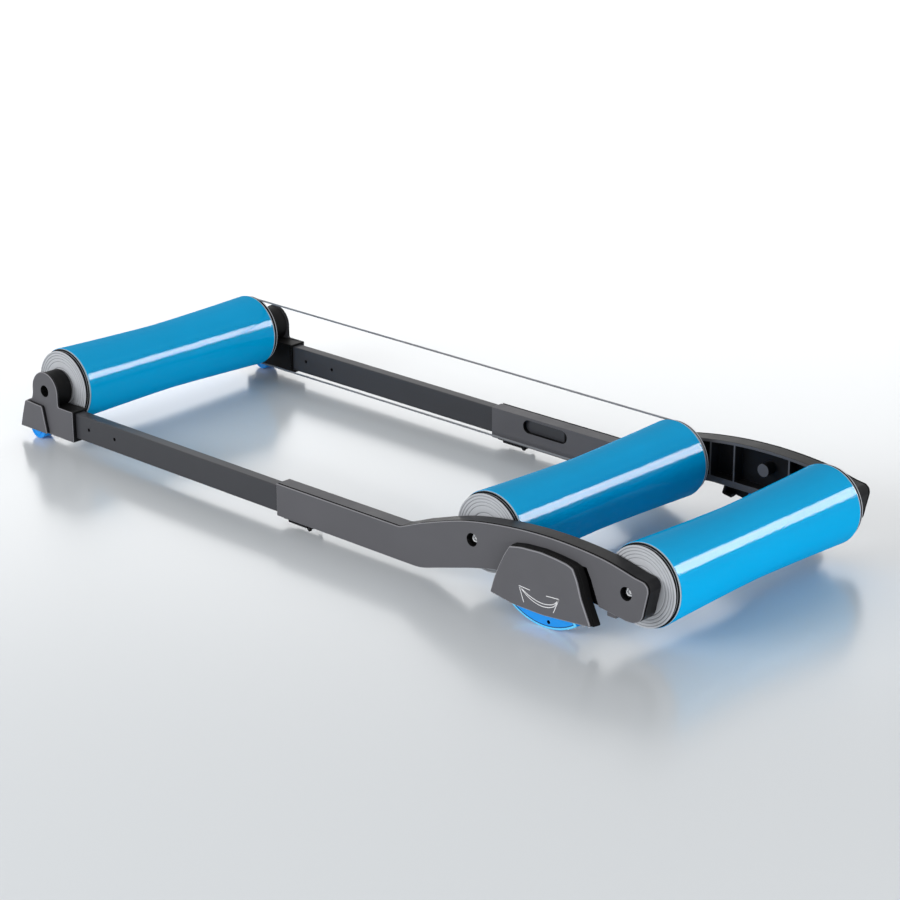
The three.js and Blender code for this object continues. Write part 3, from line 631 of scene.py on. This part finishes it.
sleeveTree = buildSleeveTree()
for which, x in rollers.items():
    body = f"{which}_roller"
    mesh = grown(sleeveTree, sleeve)
    mesh.transform(Matrix.Translation((x, rollerY, 0)))
    keepPiece(f"{which}_sleeve", facedOut(mesh), body, [f"{which}_drum"])
    addPiece(f"{which}_lips", moved(drumLips(), x), [lipGrey, paintedShadePlastic], body, "caps",
             [f"{which}_drum"], weigh=False)
    for side in sides:
        for name, make, materials, kind, slotName in (
                ("ring_face", rollerCap, [capGrey, blackPlasticAndShade, ringShade], "cap", "caps"),
                ("races", ballBearing, [steel, sealRubber], "bearing", "steel")):
            shape = mirrored(make()) if side == "left" else make()
            addPiece(f"{which}_{side}_{name}", moved(shape, x), materials, body, slotName,
                     [f"{which}_{side}_{kind}"], weigh=False)
print("rollers done")


# Axles, spacers and screws
axle = {"radius": 6.0, "end": 209.7, "bore": 4.3, "boreDepth": 11.3, "edge": 0.5}
spacer = {"outer": 9.5, "bore": 6.3, "near": 186.7, "far": 200.4, "edge": 0.4}
screw = {"shank": 4.0, "reach": 17.6, "head": 6.5, "height": 6.0, "edge": 0.6, "socket": 3.4,
         "socketDepth": 3.5, "seat": 216.6}


def axleRod(x):
    radius, end, bore, edge = (axle[key] for key in ("radius", "end", "bore", "edge"))
    bottom = end - axle["boreDepth"]
    half = [(0, bottom), (bore, bottom), (bore + 0.01, end - edge), (bore + edge, end),
            (radius - edge, end), (radius, end - edge)]
    return turned([(r, -a) for r, a in half] + half[::-1], x, around=64, closed=False)


def spacerTube(x):
    section = oblong(*(spacer[key] for key in ("bore", "outer", "near", "far", "edge")))
    return turned(softened(section, 3), x, around=64)


def screwTemplate():  # its seat lies at zero and its head points to negative Y
    head, height, edge = screw["head"], screw["height"], screw["edge"]
    shank, reach, socket, deep = (screw[k] for k in ("shank", "reach", "socket", "socketDepth"))
    body = turned([
        (0, reach), (shank - 0.6, reach), (shank, reach - 0.6), (shank, 0), (head - 0.3, 0),
        (head, -0.3), (head, edge - height), (head - edge * 0.3, edge * 0.3 - height),
        (head - edge, -height), (socket + 0.7, -height), (socket + 0.4, 0.3 - height),
        (0, 0.3 - height)], around=60, closed=False)
    return shaped(body, cut(turned([
        (0, -height - 1), (socket, -height - 1), (socket, deep - height),
        (0, deep + 1 - height)], around=6, closed=False)))


def buildScrewTree(template):
    tree, given = newGroup("axleScrews", {"Geometry": None, "Turn": math.pi})
    spot = result(tree, "GeometryNodeInputPosition")
    y = node(tree, "ShaderNodeSeparateXYZ", {0: spot}).outputs["Y"]
    turn = maths(tree, "MULTIPLY", maths(tree, "GREATER_THAN", y, 0.0), given["Turn"])
    angle = result(tree, "ShaderNodeCombineXYZ", {"Z": turn})
    shape = node(tree, "GeometryNodeObjectInfo", {"Object": template}).outputs["Geometry"]
    endTree(tree, result(tree, "GeometryNodeInstanceOnPoints", {
        "Points": given["Geometry"], "Instance": shape, "Rotation": angle}), brightSteel)
    return tree


template = looseObject(screwTemplate())
screwTree = buildScrewTree(template)
for body, names in (("rear_frame", ("rear", "middle")), ("front_frame", ("front",))):
    seats = bpy.data.meshes.new("seats")
    seats.from_pydata([(rollers[which], y, 0) for which in names
                       for y in (-screw["seat"], screw["seat"])], [], [])
    keepPiece(body.replace("frame", "screws"), grown(screwTree, {"Turn": math.pi}, seats), body,
              [f"{which}_{side}_screw" for which in names for side in sides], sharp=30)
    for which in names:
        x = rollers[which]
        addPiece(f"{which}_rod", axleRod(x), [steel], body, "steel", [f"{which}_axle"])
        addPiece(f"{which}_tube", spacerTube(x), [steel], body, "steel", [f"{which}_spacer"])
bpy.data.objects.remove(template)
print("axles and screws done")


# Belt: a round cord along two straight runs and two half turns
belt = {"Radius": 1.45, "Around": 14, "pitch": 51.6, "y": 181.2, "turnSteps": 40, "runSteps": 24}


def beltRoute():
    pitch, turnSteps, runSteps = belt["pitch"], belt["turnSteps"], belt["runSteps"]
    route = []
    for here, there, start in (("middle", "front", -90), ("front", "middle", 90)):
        x, side = rollers[here], math.copysign(pitch, -start)
        route += arc(x, 0, pitch, start, start + 180, turnSteps)
        route += [(x + (rollers[there] - x) * k / runSteps, side) for k in range(1, runSteps)]
    return atDepth(route, belt["y"])


def buildCordTree(material):
    tree, given = newGroup("roundCord", {"Geometry": None, "Radius": 1.0, "Around": 12})
    line = result(tree, "GeometryNodeMeshToCurve", {"Mesh": given["Geometry"]})
    section = result(tree, "GeometryNodeCurvePrimitiveCircle", {
        "Resolution": given["Around"], "Radius": given["Radius"]})
    endTree(tree, result(tree, "GeometryNodeCurveToMesh", {
        "Curve": line, "Profile Curve": section}), material)
    return tree


route = beltRoute()
path = bpy.data.meshes.new("path")
path.from_pydata(route, [(i, (i + 1) % len(route)) for i in range(len(route))], [])
beltPiece = keepPiece("belt_cord", grown(buildCordTree(beltRubber), belt, path), None,
                      ["drive_belt"], sharp=None)
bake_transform(beltPiece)
print("belt done")


# Rear arm: sleeve, arch and tail, with a face plate set off by a seam; its faces' materials paint
# on shade and highlight
arm = {
    "outer": 228.5, "inner": 202.5, "edge": 1.4, "innerEdge": 1.0, "seam": (226.7, 223.9),
    "seamDepth": 1.2, "wall": 4.0, "web": 220.5,
    "top": [(-345.1, -2.5), (-268.4, 21.4), (-190.0, 34.2), (-114.1, 38.3), (-40.5, 34.2),
            (12.7, 23.7)],
    "tail": [(26.9, 21.8, 8), (32.3, 17.2, 7), (33.6, 10.7, 9), (27.9, -14.0, 60),
             (25.7, -24.5, 16), (21.2, -31.0, 12), (11.8, -35.3, 12), (1.0, -36.0, 30),
             (-40.0, -30.2, 90)],
    "under": [(-75.9, -29.5, 60), (-214.3, -29.5, 90), (-253.0, -38.7, 90),
              (-296.0, -50.8, 90), (-345.1, -65.0, 90)],
    "front": -616.0, "sleeveTop": -18.5, "sleeveBottom": -65.0, "kink": (-382.0, -17.5, 24),
    "well": 9.0, "wellDepth": 216.3, "screwHole": 4.3, "axleHole": 6.3, "boss": 17.0,
    "nib": 9.5, "nibEnd": 200.7, "ribs": (-293.5, -212.5, -172.0, -81.0, -43.0), "rib": 2.5,
    "hollow": (-345.0, 34.0, -20.0, 60.0), "padRoom": (-611.0, -597.7, -221.3, -209.7),
    "lug": [(-34.5, -41.0, 2), (-19.5, -41.0, 2), (-19.5, -25.5), (-34.5, -25.5)],
    "lugSides": (222.0, 204.5), "ears": ((226.5, 224.3), (206.7, 204.5)), "ear": 4.2,
    "earTop": -62.8,
    "window": (-544.0, -480.0, -32.0, 10.0),
    "channel": [(-75.2, 16.6), (-65.7, 1.4), (-59.7, -19.7), (-54.5, -31.7),
                (-41.0, -31.7), (-46.0, -19.7), (-54.5, 1.4), (-62.5, 16.6)],
    "channelFloor": 223.5,
}
beamRoom = {"outer": 226.8, "inner": 208.7, "top": -21.7, "bottom": -60.8}
rockerPivot, footPinHole = (-121.95, 8.73), 4.3
leverPivot, leverPinHole = (-555.0, -68.0), 1.9


def armOutline():
    run = curveThrough(arm["top"], 60)
    return softened([
        (arm["front"], arm["sleeveTop"]), arm["kink"], (*run[0], 30), *run[1:], *arm["tail"],
        *arm["under"], (arm["front"], arm["sleeveBottom"])], 6)


# the wells and screw holes are left black as painted shade
def axleSeat(x, outer, inner):
    return [add(bar(x, 0, arm["nib"], inner + arm["wall"], arm["nibEnd"], 64)),
            cut(bar(x, 0, arm["well"], outer + 5, arm["wellDepth"], 72), 2),
            cut(bar(x, 0, arm["screwHole"], arm["wellDepth"] + 5, inner), 2),
            cut(bar(x, 0, arm["axleHole"], 210.0, 193.0, 64))]


# the beam's passage is left with charcoal faces as painted shade
def passage(x0, x1):
    return cut(block(x0, x1, -beamRoom["outer"], -beamRoom["inner"], beamRoom["bottom"],
                     beamRoom["top"]), 1)


def rearArm():
    outline = armOutline()
    outer, inner = arm["outer"], arm["inner"]
    near, far = arm["seam"]
    deep = arm["seamDepth"]

    # painted shade: charcoal on the tops, sides and ends behind the seam (the sleeve's top, where
    # light falls, stays grey) and black in the seam; painted highlight: lighter grey on the
    # rounded outer edge
    def faceMaterial(centre, normal):
        if -near < centre.y < -far:
            return 2
        if centre.y > -far and abs(normal.y) < 0.6:
            sleeveTop = centre.x < arm["kink"][0] and normal.z > 0.5
            return 0 if sleeveTop else 1
        return 3 if centre.y < -near and 0.3 < abs(normal.y) < 0.97 else 0

    body = painted(plate(outline, outer, inner, arm["edge"], arm["innerEdge"], [
        (-near, 0), (-near + 0.05, deep), (-far - 0.05, deep), (-far, 0)]), faceMaterial)
    hollow = shaped(
        plate(inset(outline, arm["wall"]), arm["web"], inner - 5),
        ("keep", block(*arm["hollow"][:2], -230, -190, *arm["hollow"][2:])),
        *(cut(bar(x, 0, arm["boss"], 230, 190, 72)) for x in (0, rollers["middle"])),
        cut(bar(*rockerPivot, 9.0, 230, 190)),
        *(cut(block(x, x + arm["rib"], -230, -190, -70, 60)) for x in arm["ribs"]))
    x0, x1, z, radius = arm["window"]
    slot = arc(x0, z, radius, 90, 270, 16) + arc(x1, z, radius, -90, 90, 16)
    ears, (pinX, pinZ), ear = [], leverPivot, arm["ear"]
    for high, low in arm["ears"]:
        ears += [add(bar(pinX, pinZ, ear, high, low, 32, 0.4), 2),
                 add(block(pinX - ear, pinX + ear, -high, -low, pinZ, arm["earTop"]), 2)]
    # the hollow, window, pad room, pin hole and channel keep dark faces as painted shade; the
    # channel is a pocket behind the cover that shows as its black shadow
    return shaped(
        body, cut(hollow, 1), add(plate(softened(arm["lug"]), *arm["lugSides"], 0.8, 0.8)),
        *axleSeat(0, outer, inner), *axleSeat(rollers["middle"], outer, inner),
        passage(-621.0, -80.0),
        cut(plate(arm["channel"], outer + 5, arm["channelFloor"]), 2),
        cut(plate(slot, 209.0, inner - 5), 2),
        cut(block(*arm["padRoom"], -70.0, -60.5), 2),
        cut(bar(*rockerPivot, footPinHole, outer + 5, 210.7), 2),
        *ears, cut(bar(*leverPivot, leverPinHole, 231.0, 200.0, 24)))


faceMaterials = [facePlastic, paintedShadePlastic, blackPlasticAndShade, paintedHighlightPlastic]
pair("arm", rearArm(), faceMaterials, "rear_frame", "frame", "rear_arm")
print("arms done")


# Rear cover: a proud face with a stepped rim, open below for the foot; the rim behind the seam is
# painted near black and the cavity charcoal as shade, the rounded face edge lighter as a highlight
cover = {
    "face": [(-176.7, 16.9, 3), (-157.6, 20.7, 60), (-125.5, 22.8, 60), (-101.1, 21.4, 60),
             (-82.6, 19.1, 30), (-73.3, 15.7, 4), (-65.7, 1.3, 60), (-59.4, -19.5, 60),
             (-51.2, -36.8, 60), (-43.5, -52.7, 2.5), (-66.4, -54.9, 60), (-120.2, -59.8, 90),
             (-169.3, -59.4, 90), (-208.6, -53.4, 2.0), (-202.6, -33.7, 60),
             (-193.6, -12.5, 60), (-185.3, 3.7, 60)],
    "layers": [  # distance, how far in, how far the rear edge leans back
        (-242.94, 1.3, 0), (-242.8, 0.75, 0), (-242.4, 0.25, 0), (-241.7, 0, 0), (-240.5, 0, 0),
        (-240.45, 0.9, 0), (-239.9, 0.9, 0.2), (-239.85, 0, 0.4), (-237.1, 0, 1.5),
        (-237.0, -0.7, 2.8), (-236.6, -0.9, 3.0), (-228.8, -0.9, 4.8)],
    "seam": -240.48, "wall": 3.0, "lean": (-100.0, -70.0),
    "footRoom": (-193.7, -50.1, -239.9, -223.0, -80.0, -47.8),
}


def smoothStep(value, low, high):
    t = min(max((value - low) / (high - low), 0), 1)
    return t * t * (3 - 2 * t)


def rearCover():
    outline = softened(cover["face"], 6)
    layers = []
    for y, within, lean in cover["layers"]:
        points = inset(outline, within) if within else outline
        layers.append([(x + lean * smoothStep(x, *cover["lean"]), y, z) for x, z in points])
    body = painted(loft(layers), lambda centre, normal: 2 if centre.y > cover["seam"]
                   else 3 if 0.2 < abs(normal.y) < 0.97 else 0)
    return shaped(
        body, cut(plate(insetCorners(cover["face"], cover["wall"]), 239.9, 223.0), 1),
        cut(block(*cover["footRoom"]), 1),
        cut(bar(*rockerPivot, footPinHole, 241.5, 228)))


pair("cover", rearCover(), [coverPlastic, paintedShadePlastic, blackPlasticAndShade, paintedHighlightPlastic], "rear_frame",
     "covers", "rear_cover")


# Swing arrow: two arcs that meet in open arrow heads, printed on both covers
arrow = {
    "width": 1.1, "top": 243.0, "under": 242.6,
    "arcs": [[(-159.0, -31.7), (-141.0, -43.2), (-121.0, -47.5), (-103.0, -43.0), (-94.3, -31.2)],
             [(-158.6, -31.9), (-140.5, -40.2), (-121.0, -43.7), (-103.5, -40.0), (-94.6, -31.6)]],
    "heads": [[(-141.2, -31.9), (-159.6, -30.7), (-151.4, -51.1)],
              [(-114.7, -31.9), (-93.7, -30.3), (-102.7, -51.0)]],
}


def stroke(points, width):
    left, right = [], []
    for i, here in enumerate(points):
        here = Vector(here)
        ahead = Vector(points[min(i + 1, len(points) - 1)]) - Vector(points[max(i - 1, 0)])
        across = Vector((-ahead.y, ahead.x)).normalized() * width / 2
        left.append(tuple(here + across))
        right.append(tuple(here - across))
    return plate(left + right[::-1], arrow["top"], arrow["under"])


def swingArrow():
    lines = [curveThrough(points, 32) for points in arrow["arcs"]]
    for a, tip, b in arrow["heads"]:
        lines += [[a, tip], [tip, b]]
    return together(*(stroke(points, arrow["width"]) for points in lines))


pair("swing_arrow", swingArrow(), [arrowInk], "rear_frame", "covers", weigh=False)
print("covers done")


# Rocking foot: a sector with a rim round its tread and a hole near it; the rim is painted lighter
# as a highlight, the groove inside it darker and the hole black as painted shade
rocker = {"centre": (-121.95, 18.73), "radius": 95.9, "halfAngle": 34.0, "outer": 239.3,
          "inner": 229.8, "hub": 10.0, "edge": 1.0, "rim": 3.0, "line": 0.9, "recess": 0.9,
          "hole": 2.6, "holeDepth": 9.0, "holeAngle": 5.5}


def rockingFoot():
    x, z = rocker["centre"]
    half, radius, hub = rocker["halfAngle"], rocker["radius"], rocker["hub"]
    outer, edge, recess = rocker["outer"], rocker["edge"], rocker["recess"]

    def sector(reach, angle, hubReach):
        sweep = arc(x, z, reach, 270 - angle, 270 + angle, 60)
        return sweep + arc(*rockerPivot, hubReach, 20, 160, 14)
    body = painted(plate(sector(radius, half, hub), outer, rocker["inner"], edge, edge),
                   lambda centre, normal: 0 if centre.y > -outer + edge else 2)
    field = sector(radius - rocker["rim"], half - 2.0, hub - 2.5)
    plain = sector(radius - rocker["rim"] - rocker["line"], half - 2.5, hub - 3.5)
    holeAngle = math.radians(rocker["holeAngle"])
    holeReach = radius - rocker["holeDepth"]
    hole = (x + holeReach * math.sin(holeAngle), z - holeReach * math.cos(holeAngle))
    return shaped(
        body,
        cut(plate(field, outer + 2, outer - recess), 3),
        add(plate(plain, outer - 0.3, outer - recess - 0.3, 0.3)),
        add(bar(*rockerPivot, 7.5, outer, outer - 2, 48, 0.3)),
        cut(bar(*rockerPivot, footPinHole, 245, 225)),
        cut(bar(*hole, rocker["hole"], 245, 225, 32), 1))


pair("foot", rockingFoot(), [footBlue, blackPlasticAndShade, footRimHighlight, footShade],
     ("left_foot", "right_foot"), "feet", "rocker")
pair("foot_pin", bar(*rockerPivot, 4.0, 241.2, 211.0, 48, 0.5), [steel], "rear_frame", "steel",
     "rocker_pin")
print("feet done")


# Beam: a painted box section with two cross holes
beam = {"front": -1100.0, "rear": -480.0, "outer": 226.5, "inner": 209.0, "top": -22.0,
        "bottom": -60.5, "wall": 1.8, "corner": 2.2, "edge": 0.3, "holes": (-1018.0, -960.0),
        "holeZ": -40.5, "hole": 2.6}


def beamSection(x0, x1, within, radius, edge=0.0):  # a solid along X, set in from the beam's skin
    outer, inner = beam["outer"] - within, beam["inner"] + within
    top, bottom = beam["top"] - within, beam["bottom"] + within
    ring = softened(oblong(-outer, -inner, bottom, top, radius))
    ends = edgeLayers(edge, 2)
    layers = [(x0 + deep, further) for deep, further in ends]
    layers += [(x1 - deep, further) for deep, further in ends[::-1]]
    return loft([[(x, y, z) for y, z in inset(ring, further)] for x, further in layers])


# the beam's inside and its cross holes are near black as painted shade
def boxBeam():
    front, rear = beam["front"], beam["rear"]
    return shaped(
        beamSection(front, rear, 0, beam["corner"], beam["edge"]),
        cut(beamSection(front - 5, rear + 5, beam["wall"], 1.0), 1),
        *(cut(bar(x, beam["holeZ"], beam["hole"], 232, 204, 32), 1) for x in beam["holes"]))


pair("tube", boxBeam(), [beamPaint, blackPlasticAndShade], "front_frame", "beams", "beam")

# Plug: a flange on the beam's rear end, a stem inside it and a shallow pocket
plug = {"x": -479.7, "flange": 2.5, "edge": 0.6, "depth": 14.0, "room": 2.1, "pocket": 4.5}
plugBody = shaped(
    beamSection(plug["x"], plug["x"] + plug["flange"], 0, beam["corner"], plug["edge"]),
    add(beamSection(plug["x"] - plug["depth"], plug["x"] + 1.0, plug["room"], 1.0, 0.5)),
    cut(beamSection(plug["x"] - 1.0, plug["x"] + 5.0, plug["pocket"], 1.5)))
pair("plug", plugBody, [blackPlasticAndShade], "front_frame", "dark", "beam_plug")


# Front bracket: a grey face over a block that holds the beam's end, the axle and the wheel; the
# block is near black as painted shade
bracket = {"outer": 233.5, "split": 229.4, "inner": 205.0, "rear": -1047.0, "front": -1152.0,
           "top": -18.8, "bottom": -65.5, "ear": 28.7, "boss": 27.0, "bossEnd": 203.0,
           "edge": 1.3}
frontX = rollers["front"]
wheel = {"x": -1128.0, "z": -60.41, "radius": 16.79, "outer": 235.0, "inner": 214.0,
         "edge": 2.2, "well": 19.0, "bore": 3.3}


def wheelRoom(outer, inner, top):
    return block(wheel["x"] - wheel["well"], wheel["x"] + wheel["well"], -outer, -inner, -80,
                 wheel["z"] + top)


def bracketFoot(top):
    rear, front, bottom = bracket["rear"], bracket["front"], bracket["bottom"]
    return [(front, top - 4.0, 3), (front, bottom + 4.0, 3), (-1130.5, bottom, 8),
            (rear, bottom, 0.8), (rear, top, 0.8)]


# painted shade: charcoal on the face's sides and ends, black in the well and the wheel's room;
# painted highlight: lighter grey on its rounded edge
def frontFace():
    ear, top = bracket["ear"], bracket["top"]
    outline = softened([*bracketFoot(top), (frontX + ear, top, 3.5),
                        *arc(frontX, 0, ear, 0, 180, 48),
                        (frontX - ear, -7.2, 20), (frontX - 1.1 * ear, -17.2, 6)], 5)
    body = painted(plate(outline, bracket["outer"], bracket["split"], bracket["edge"], 0.3),
                   lambda centre, normal: 1 if centre.y > -bracket["outer"] + 1.5
                   and abs(normal.y) < 0.6 else 3 if -0.97 < normal.y < -0.3 else 0)
    return shaped(body, cut(bar(frontX, 0, arm["well"], 240, 225, 72), 2),
                  cut(wheelRoom(240, 225, wheel["well"]), 2))


def frontBlock():
    body = plate(softened(bracketFoot(bracket["top"]), 5), bracket["split"] - 0.05,
                 bracket["inner"], 0.2, 1.6)
    boss = bar(frontX, 0, bracket["boss"], bracket["split"] - 0.05, bracket["bossEnd"], 96, 1.0)
    return shaped(
        body, add(boss), passage(-1100.3, -1042.0),
        *axleSeat(frontX, 229.0, bracket["bossEnd"]),
        cut(wheelRoom(235, 213, wheel["well"])),
        cut(bar(wheel["x"], wheel["z"], wheel["bore"], 235, 206.7)))


pair("bracket_face", frontFace(), faceMaterials, "front_frame", "frame", "front_bracket")
pair("bracket_block", frontBlock(), [blackPlasticAndShade], "front_frame", "frame", "front_bracket")

frontCover = {
    "face": [(-1149.0, -21.2, 3.5), (-1111.0, -22.9, 4.0), (-1101.3, -63.3, 1.5),
             (-1162.0, -63.5, 1.5), (-1156.7, -44.0, 40)],
    "layers": [(-240.0, 1.3), (-239.85, 0.7), (-239.4, 0.2), (-238.7, 0), (-237.9, 0),
               (-237.85, 0.6), (-237.3, 0.6), (-237.25, 0), (-233.8, 0)],
    "seam": -237.88, "wall": 2.5,
}


# the rim behind the seam and the cavity are charcoal as painted shade, the rounded face edge
# lighter grey as a painted highlight
def cornerCover():
    outline = softened(frontCover["face"], 6)
    body = loft([atDepth(inset(outline, within) if within else outline, y)
                 for y, within in frontCover["layers"]])
    painted(body, lambda centre, normal: 1 if centre.y > frontCover["seam"]
            else 2 if 0.2 < abs(normal.y) < 0.97 else 0)
    room = insetCorners(frontCover["face"], frontCover["wall"])
    return shaped(body, cut(plate(room, 237.2, 228.0), 1), cut(wheelRoom(237.2, 228, 0), 1))


pair("corner_cover", cornerCover(), [coverPlastic, paintedShadePlastic, paintedHighlightPlastic], "front_frame",
     "covers", "front_cover")


def cornerWheel():
    outer, inner, radius, edge = (wheel[key] for key in ("outer", "inner", "radius", "edge"))
    return turned(softened([
        (wheel["bore"], -outer + 1.2), (6.5, -outer + 1.2, 0.3), (7.5, -outer, 0.5),
        (9.0, -outer, 0.5), (10.0, -outer + 1.6, 0.5), (13.0, -outer + 1.6, 0.5),
        (14.0, -outer, 0.5), (radius, -outer, edge), (radius, -inner, edge), (14.0, -inner, 0.5),
        (13.0, -inner - 1.6, 0.5), (wheel["bore"], -inner - 1.6)], 4),
        wheel["x"], wheel["z"])


pair("corner_wheel", cornerWheel(), [footBlue], ("left_wheel", "right_wheel"), "feet",
     "front_wheel", weigh=False)
pair("corner_pin", bar(wheel["x"], wheel["z"], 3.0, 237.2, 207.0, 40, 0.4), [steel],
     "front_frame", "steel", "wheel_pin")
print("front frame done")


# Lock lever: a brake pad at its front, grip ribs under it, and a pin and a spring at its rear
lever = {
    "upper": [(-616.0, -66.3), (-608.0, -66.3), (-607.8, -68.0), (-550.0, -68.0),
              (-554.7, -65.4), (-616.0, -65.4)],
    "lower": [(-598.2, -67.8), (-597.8, -70.6), (-554.0, -70.6), (-550.6, -67.8)],
    "outer": 224.0, "inner": 207.0, "pad": (-610.0, -598.0, -221.0, -210.0, -67.0, -60.8),
    "slot": (-559.0, -545.0, -218.3, -212.7, -76.0, -60.0), "pin": 1.6, "pinOuter": 226.5,
    "pinInner": 204.5,
}
grip = {"Count": 8, "Pitch": 2.4, "Radius": 0.45, "Length": 15.0}
gripStart = (-595.0, -70.4)
spring = {"Turns": 5.0, "Coil": 2.3, "Width": 4.0, "Wire": 0.42}
springDrop = 0.1
quarterTurn = (math.pi / 2, 0, 0)


def lockLever():
    body = plate(lever["upper"], lever["outer"] - 0.6, lever["inner"] + 0.6, 0.2, 0.2)
    foot = plate(lever["lower"], lever["outer"], lever["inner"], 0.5, 0.5)
    return shaped(
        body, add(foot), add(block(*lever["pad"]), 1),
        cut(bar(*leverPivot, leverPinHole, 230, 200, 24)),
        cut(block(*lever["slot"])))


def buildGripTree():
    tree, given = newGroup("gripRibs", grip)
    step = result(tree, "ShaderNodeCombineXYZ", {"X": given["Pitch"]})
    line = result(tree, "GeometryNodeMeshLine", {"Count": given["Count"], "Offset": step},
                  mode="OFFSET")
    rod = result(tree, "GeometryNodeMeshCylinder", {
        "Vertices": 12, "Radius": given["Radius"], "Depth": given["Length"]})
    endTree(tree, result(tree, "GeometryNodeInstanceOnPoints", {
        "Points": line, "Instance": rod, "Rotation": quarterTurn}), blackPlasticAndShade)
    return tree


def buildSpringTree():
    tree, given = newGroup("coilSpring", spring)
    coil = result(tree, "GeometryNodeCurveSpiral", {
        "Resolution": 28, "Rotations": given["Turns"], "Start Radius": given["Coil"],
        "End Radius": given["Coil"], "Height": given["Width"]})
    section = result(tree, "GeometryNodeCurvePrimitiveCircle", {
        "Resolution": 10, "Radius": given["Wire"]})
    wire = result(tree, "GeometryNodeCurveToMesh", {
        "Curve": coil, "Profile Curve": section, "Fill Caps": True})
    endTree(tree, result(tree, "GeometryNodeTransform", {
        "Geometry": wire, "Rotation": quarterTurn}), steel)
    return tree


gripTree, springTree = buildGripTree(), buildSpringTree()
pair("lever", lockLever(), [paintedShadePlastic, sealRubber], ("left_lock", "right_lock"), "dark",
     "lock_lever")
pair("lever_pin", bar(*leverPivot, lever["pin"], lever["pinOuter"], lever["pinInner"], 32, 0.3),
     [darkSteel], "rear_frame", "steel", "lock_pin")
leverMiddle = (lever["outer"] + lever["inner"]) / 2
for side, sign in zip(sides, (-1, 1)):
    ribs = grown(gripTree, grip)
    ribs.transform(Matrix.Translation((gripStart[0], sign * leverMiddle, gripStart[1])))
    keepPiece(f"{side}_lever_grip", facedOut(ribs), f"{side}_lock")
    coil = grown(springTree, spring)
    coil.transform(Matrix.Translation((
        leverPivot[0], sign * leverMiddle + spring["Width"] / 2, leverPivot[1] - springDrop)))
    keepPiece(f"{side}_lever_spring", facedOut(coil), f"{side}_lock",
              [f"{side}_lock_spring"])
print("locks done")


# Floor, light and camera
studio = {
    "floor": {"Base Color": colour(228, 233, 237), "Roughness": 0.2, "Specular IOR Level": 1.0},
    "size": 16.0, "ambient": 0.28,
    "lamps": [  # name, place, aim, width, height, power, what it lights
        ("front soft", (-1.4, -3.7, 1.5), (0, 0, 0.05), 3.2, 1.6, 118, "all"),
        ("back soft", (-1.6, 2.4, 2.6), (-0.1, 0, 0.05), 3, 2.4, 28, "all"),
        ("side soft", (3.2, -1, 0.5), (0.2, 0, 0.05), 3, 0.7, 60, "all"),
        ("back card", (-14.5, 14.5, 4.5), (0, 0, 0.5), 44, 8, 2100, "floor"),
        ("strip", (3.2, 2, 1.95), (0.2, 0.4, 0.08), 6, 1.2, 1000, "sleeves"),
        ("thin strip", (3.2, 2, 1.1), (0.2, 0.4, 0.08), 6, 0.05, 16, "sleeves"),
    ],
}


def pointAt(held, eye, aim, roll=0.0):
    facing = (Vector(aim) - Vector(eye)).to_track_quat("-Z", "Y").to_matrix().to_4x4()
    held.matrix_world = (Matrix.Translation(eye) @ facing
                         @ Matrix.Rotation(math.radians(roll), 4, "Z"))


bm = bmesh.new()
bmesh.ops.create_grid(bm, x_segments=1, y_segments=1, size=studio["size"])
floorFinish, tree, principled = newMaterial("floorFinish")
fill(tree, principled, studio["floor"])
floor = linked("floor", meshOf(bm, "floor", [floorFinish]))

receivers = {name: bpy.data.collections.new(name) for name in ("floor", "sleeves")}
receivers["floor"].objects.link(floor)
for thing in bpy.context.scene.objects:
    if thing.name.endswith("_sleeve"):
        receivers["sleeves"].objects.link(thing)
for name, place, aim, width, height, power, lights in studio["lamps"]:
    lampData = bpy.data.lights.new(name, "AREA")
    lampData.shape, lampData.size, lampData.size_y = "RECTANGLE", width, height
    lampData.energy = power
    lamp = linked(name, lampData)
    lamp.visible_glossy = lights != "all"  # the soft lamps light, the others only gleam
    lamp.visible_diffuse = lights == "all"
    if lights != "all":
        lamp.light_linking.receiver_collection = receivers[lights]
    if "strip" in name:  # lies along Y and faces the rollers
        facing = (Vector(aim) - Vector(place)).normalized()
        along = (Vector((0, 1, 0)) - facing * facing.y).normalized()
        up = along.cross(facing)
        lamp.matrix_world = Matrix.Translation(place) @ Matrix(
            (along, up, -facing)).transposed().to_4x4()
    else:
        pointAt(lamp, place, aim)

world = bpy.data.worlds.new("studio")
world.use_nodes = True
bpy.context.scene.world = world
tree = world.node_tree
rays = node(tree, "ShaderNodeLightPath").outputs
shown = maths(tree, "MAXIMUM", rays["Is Camera Ray"], maths(
    tree, "MAXIMUM", rays["Is Glossy Ray"], rays["Is Transmission Ray"]))
fill(tree, tree.nodes["Background"], {
    "Color": (1, 1, 1, 1), "Strength": ranged(tree, shown, 0.0, 1.0, studio["ambient"])})

cameraData = bpy.data.cameras.new("camera")
cameraData.sensor_width = 36.0
cameraData.lens = 105.27
camera = linked("camera", cameraData)
pointAt(camera, (2.40459, -2.47752, 1.32642), (0.05450, -0.00843, 0.0772), -0.19)
bpy.context.scene.camera = camera
bpy.context.scene.view_settings.view_transform = "Standard"
print("studio done")
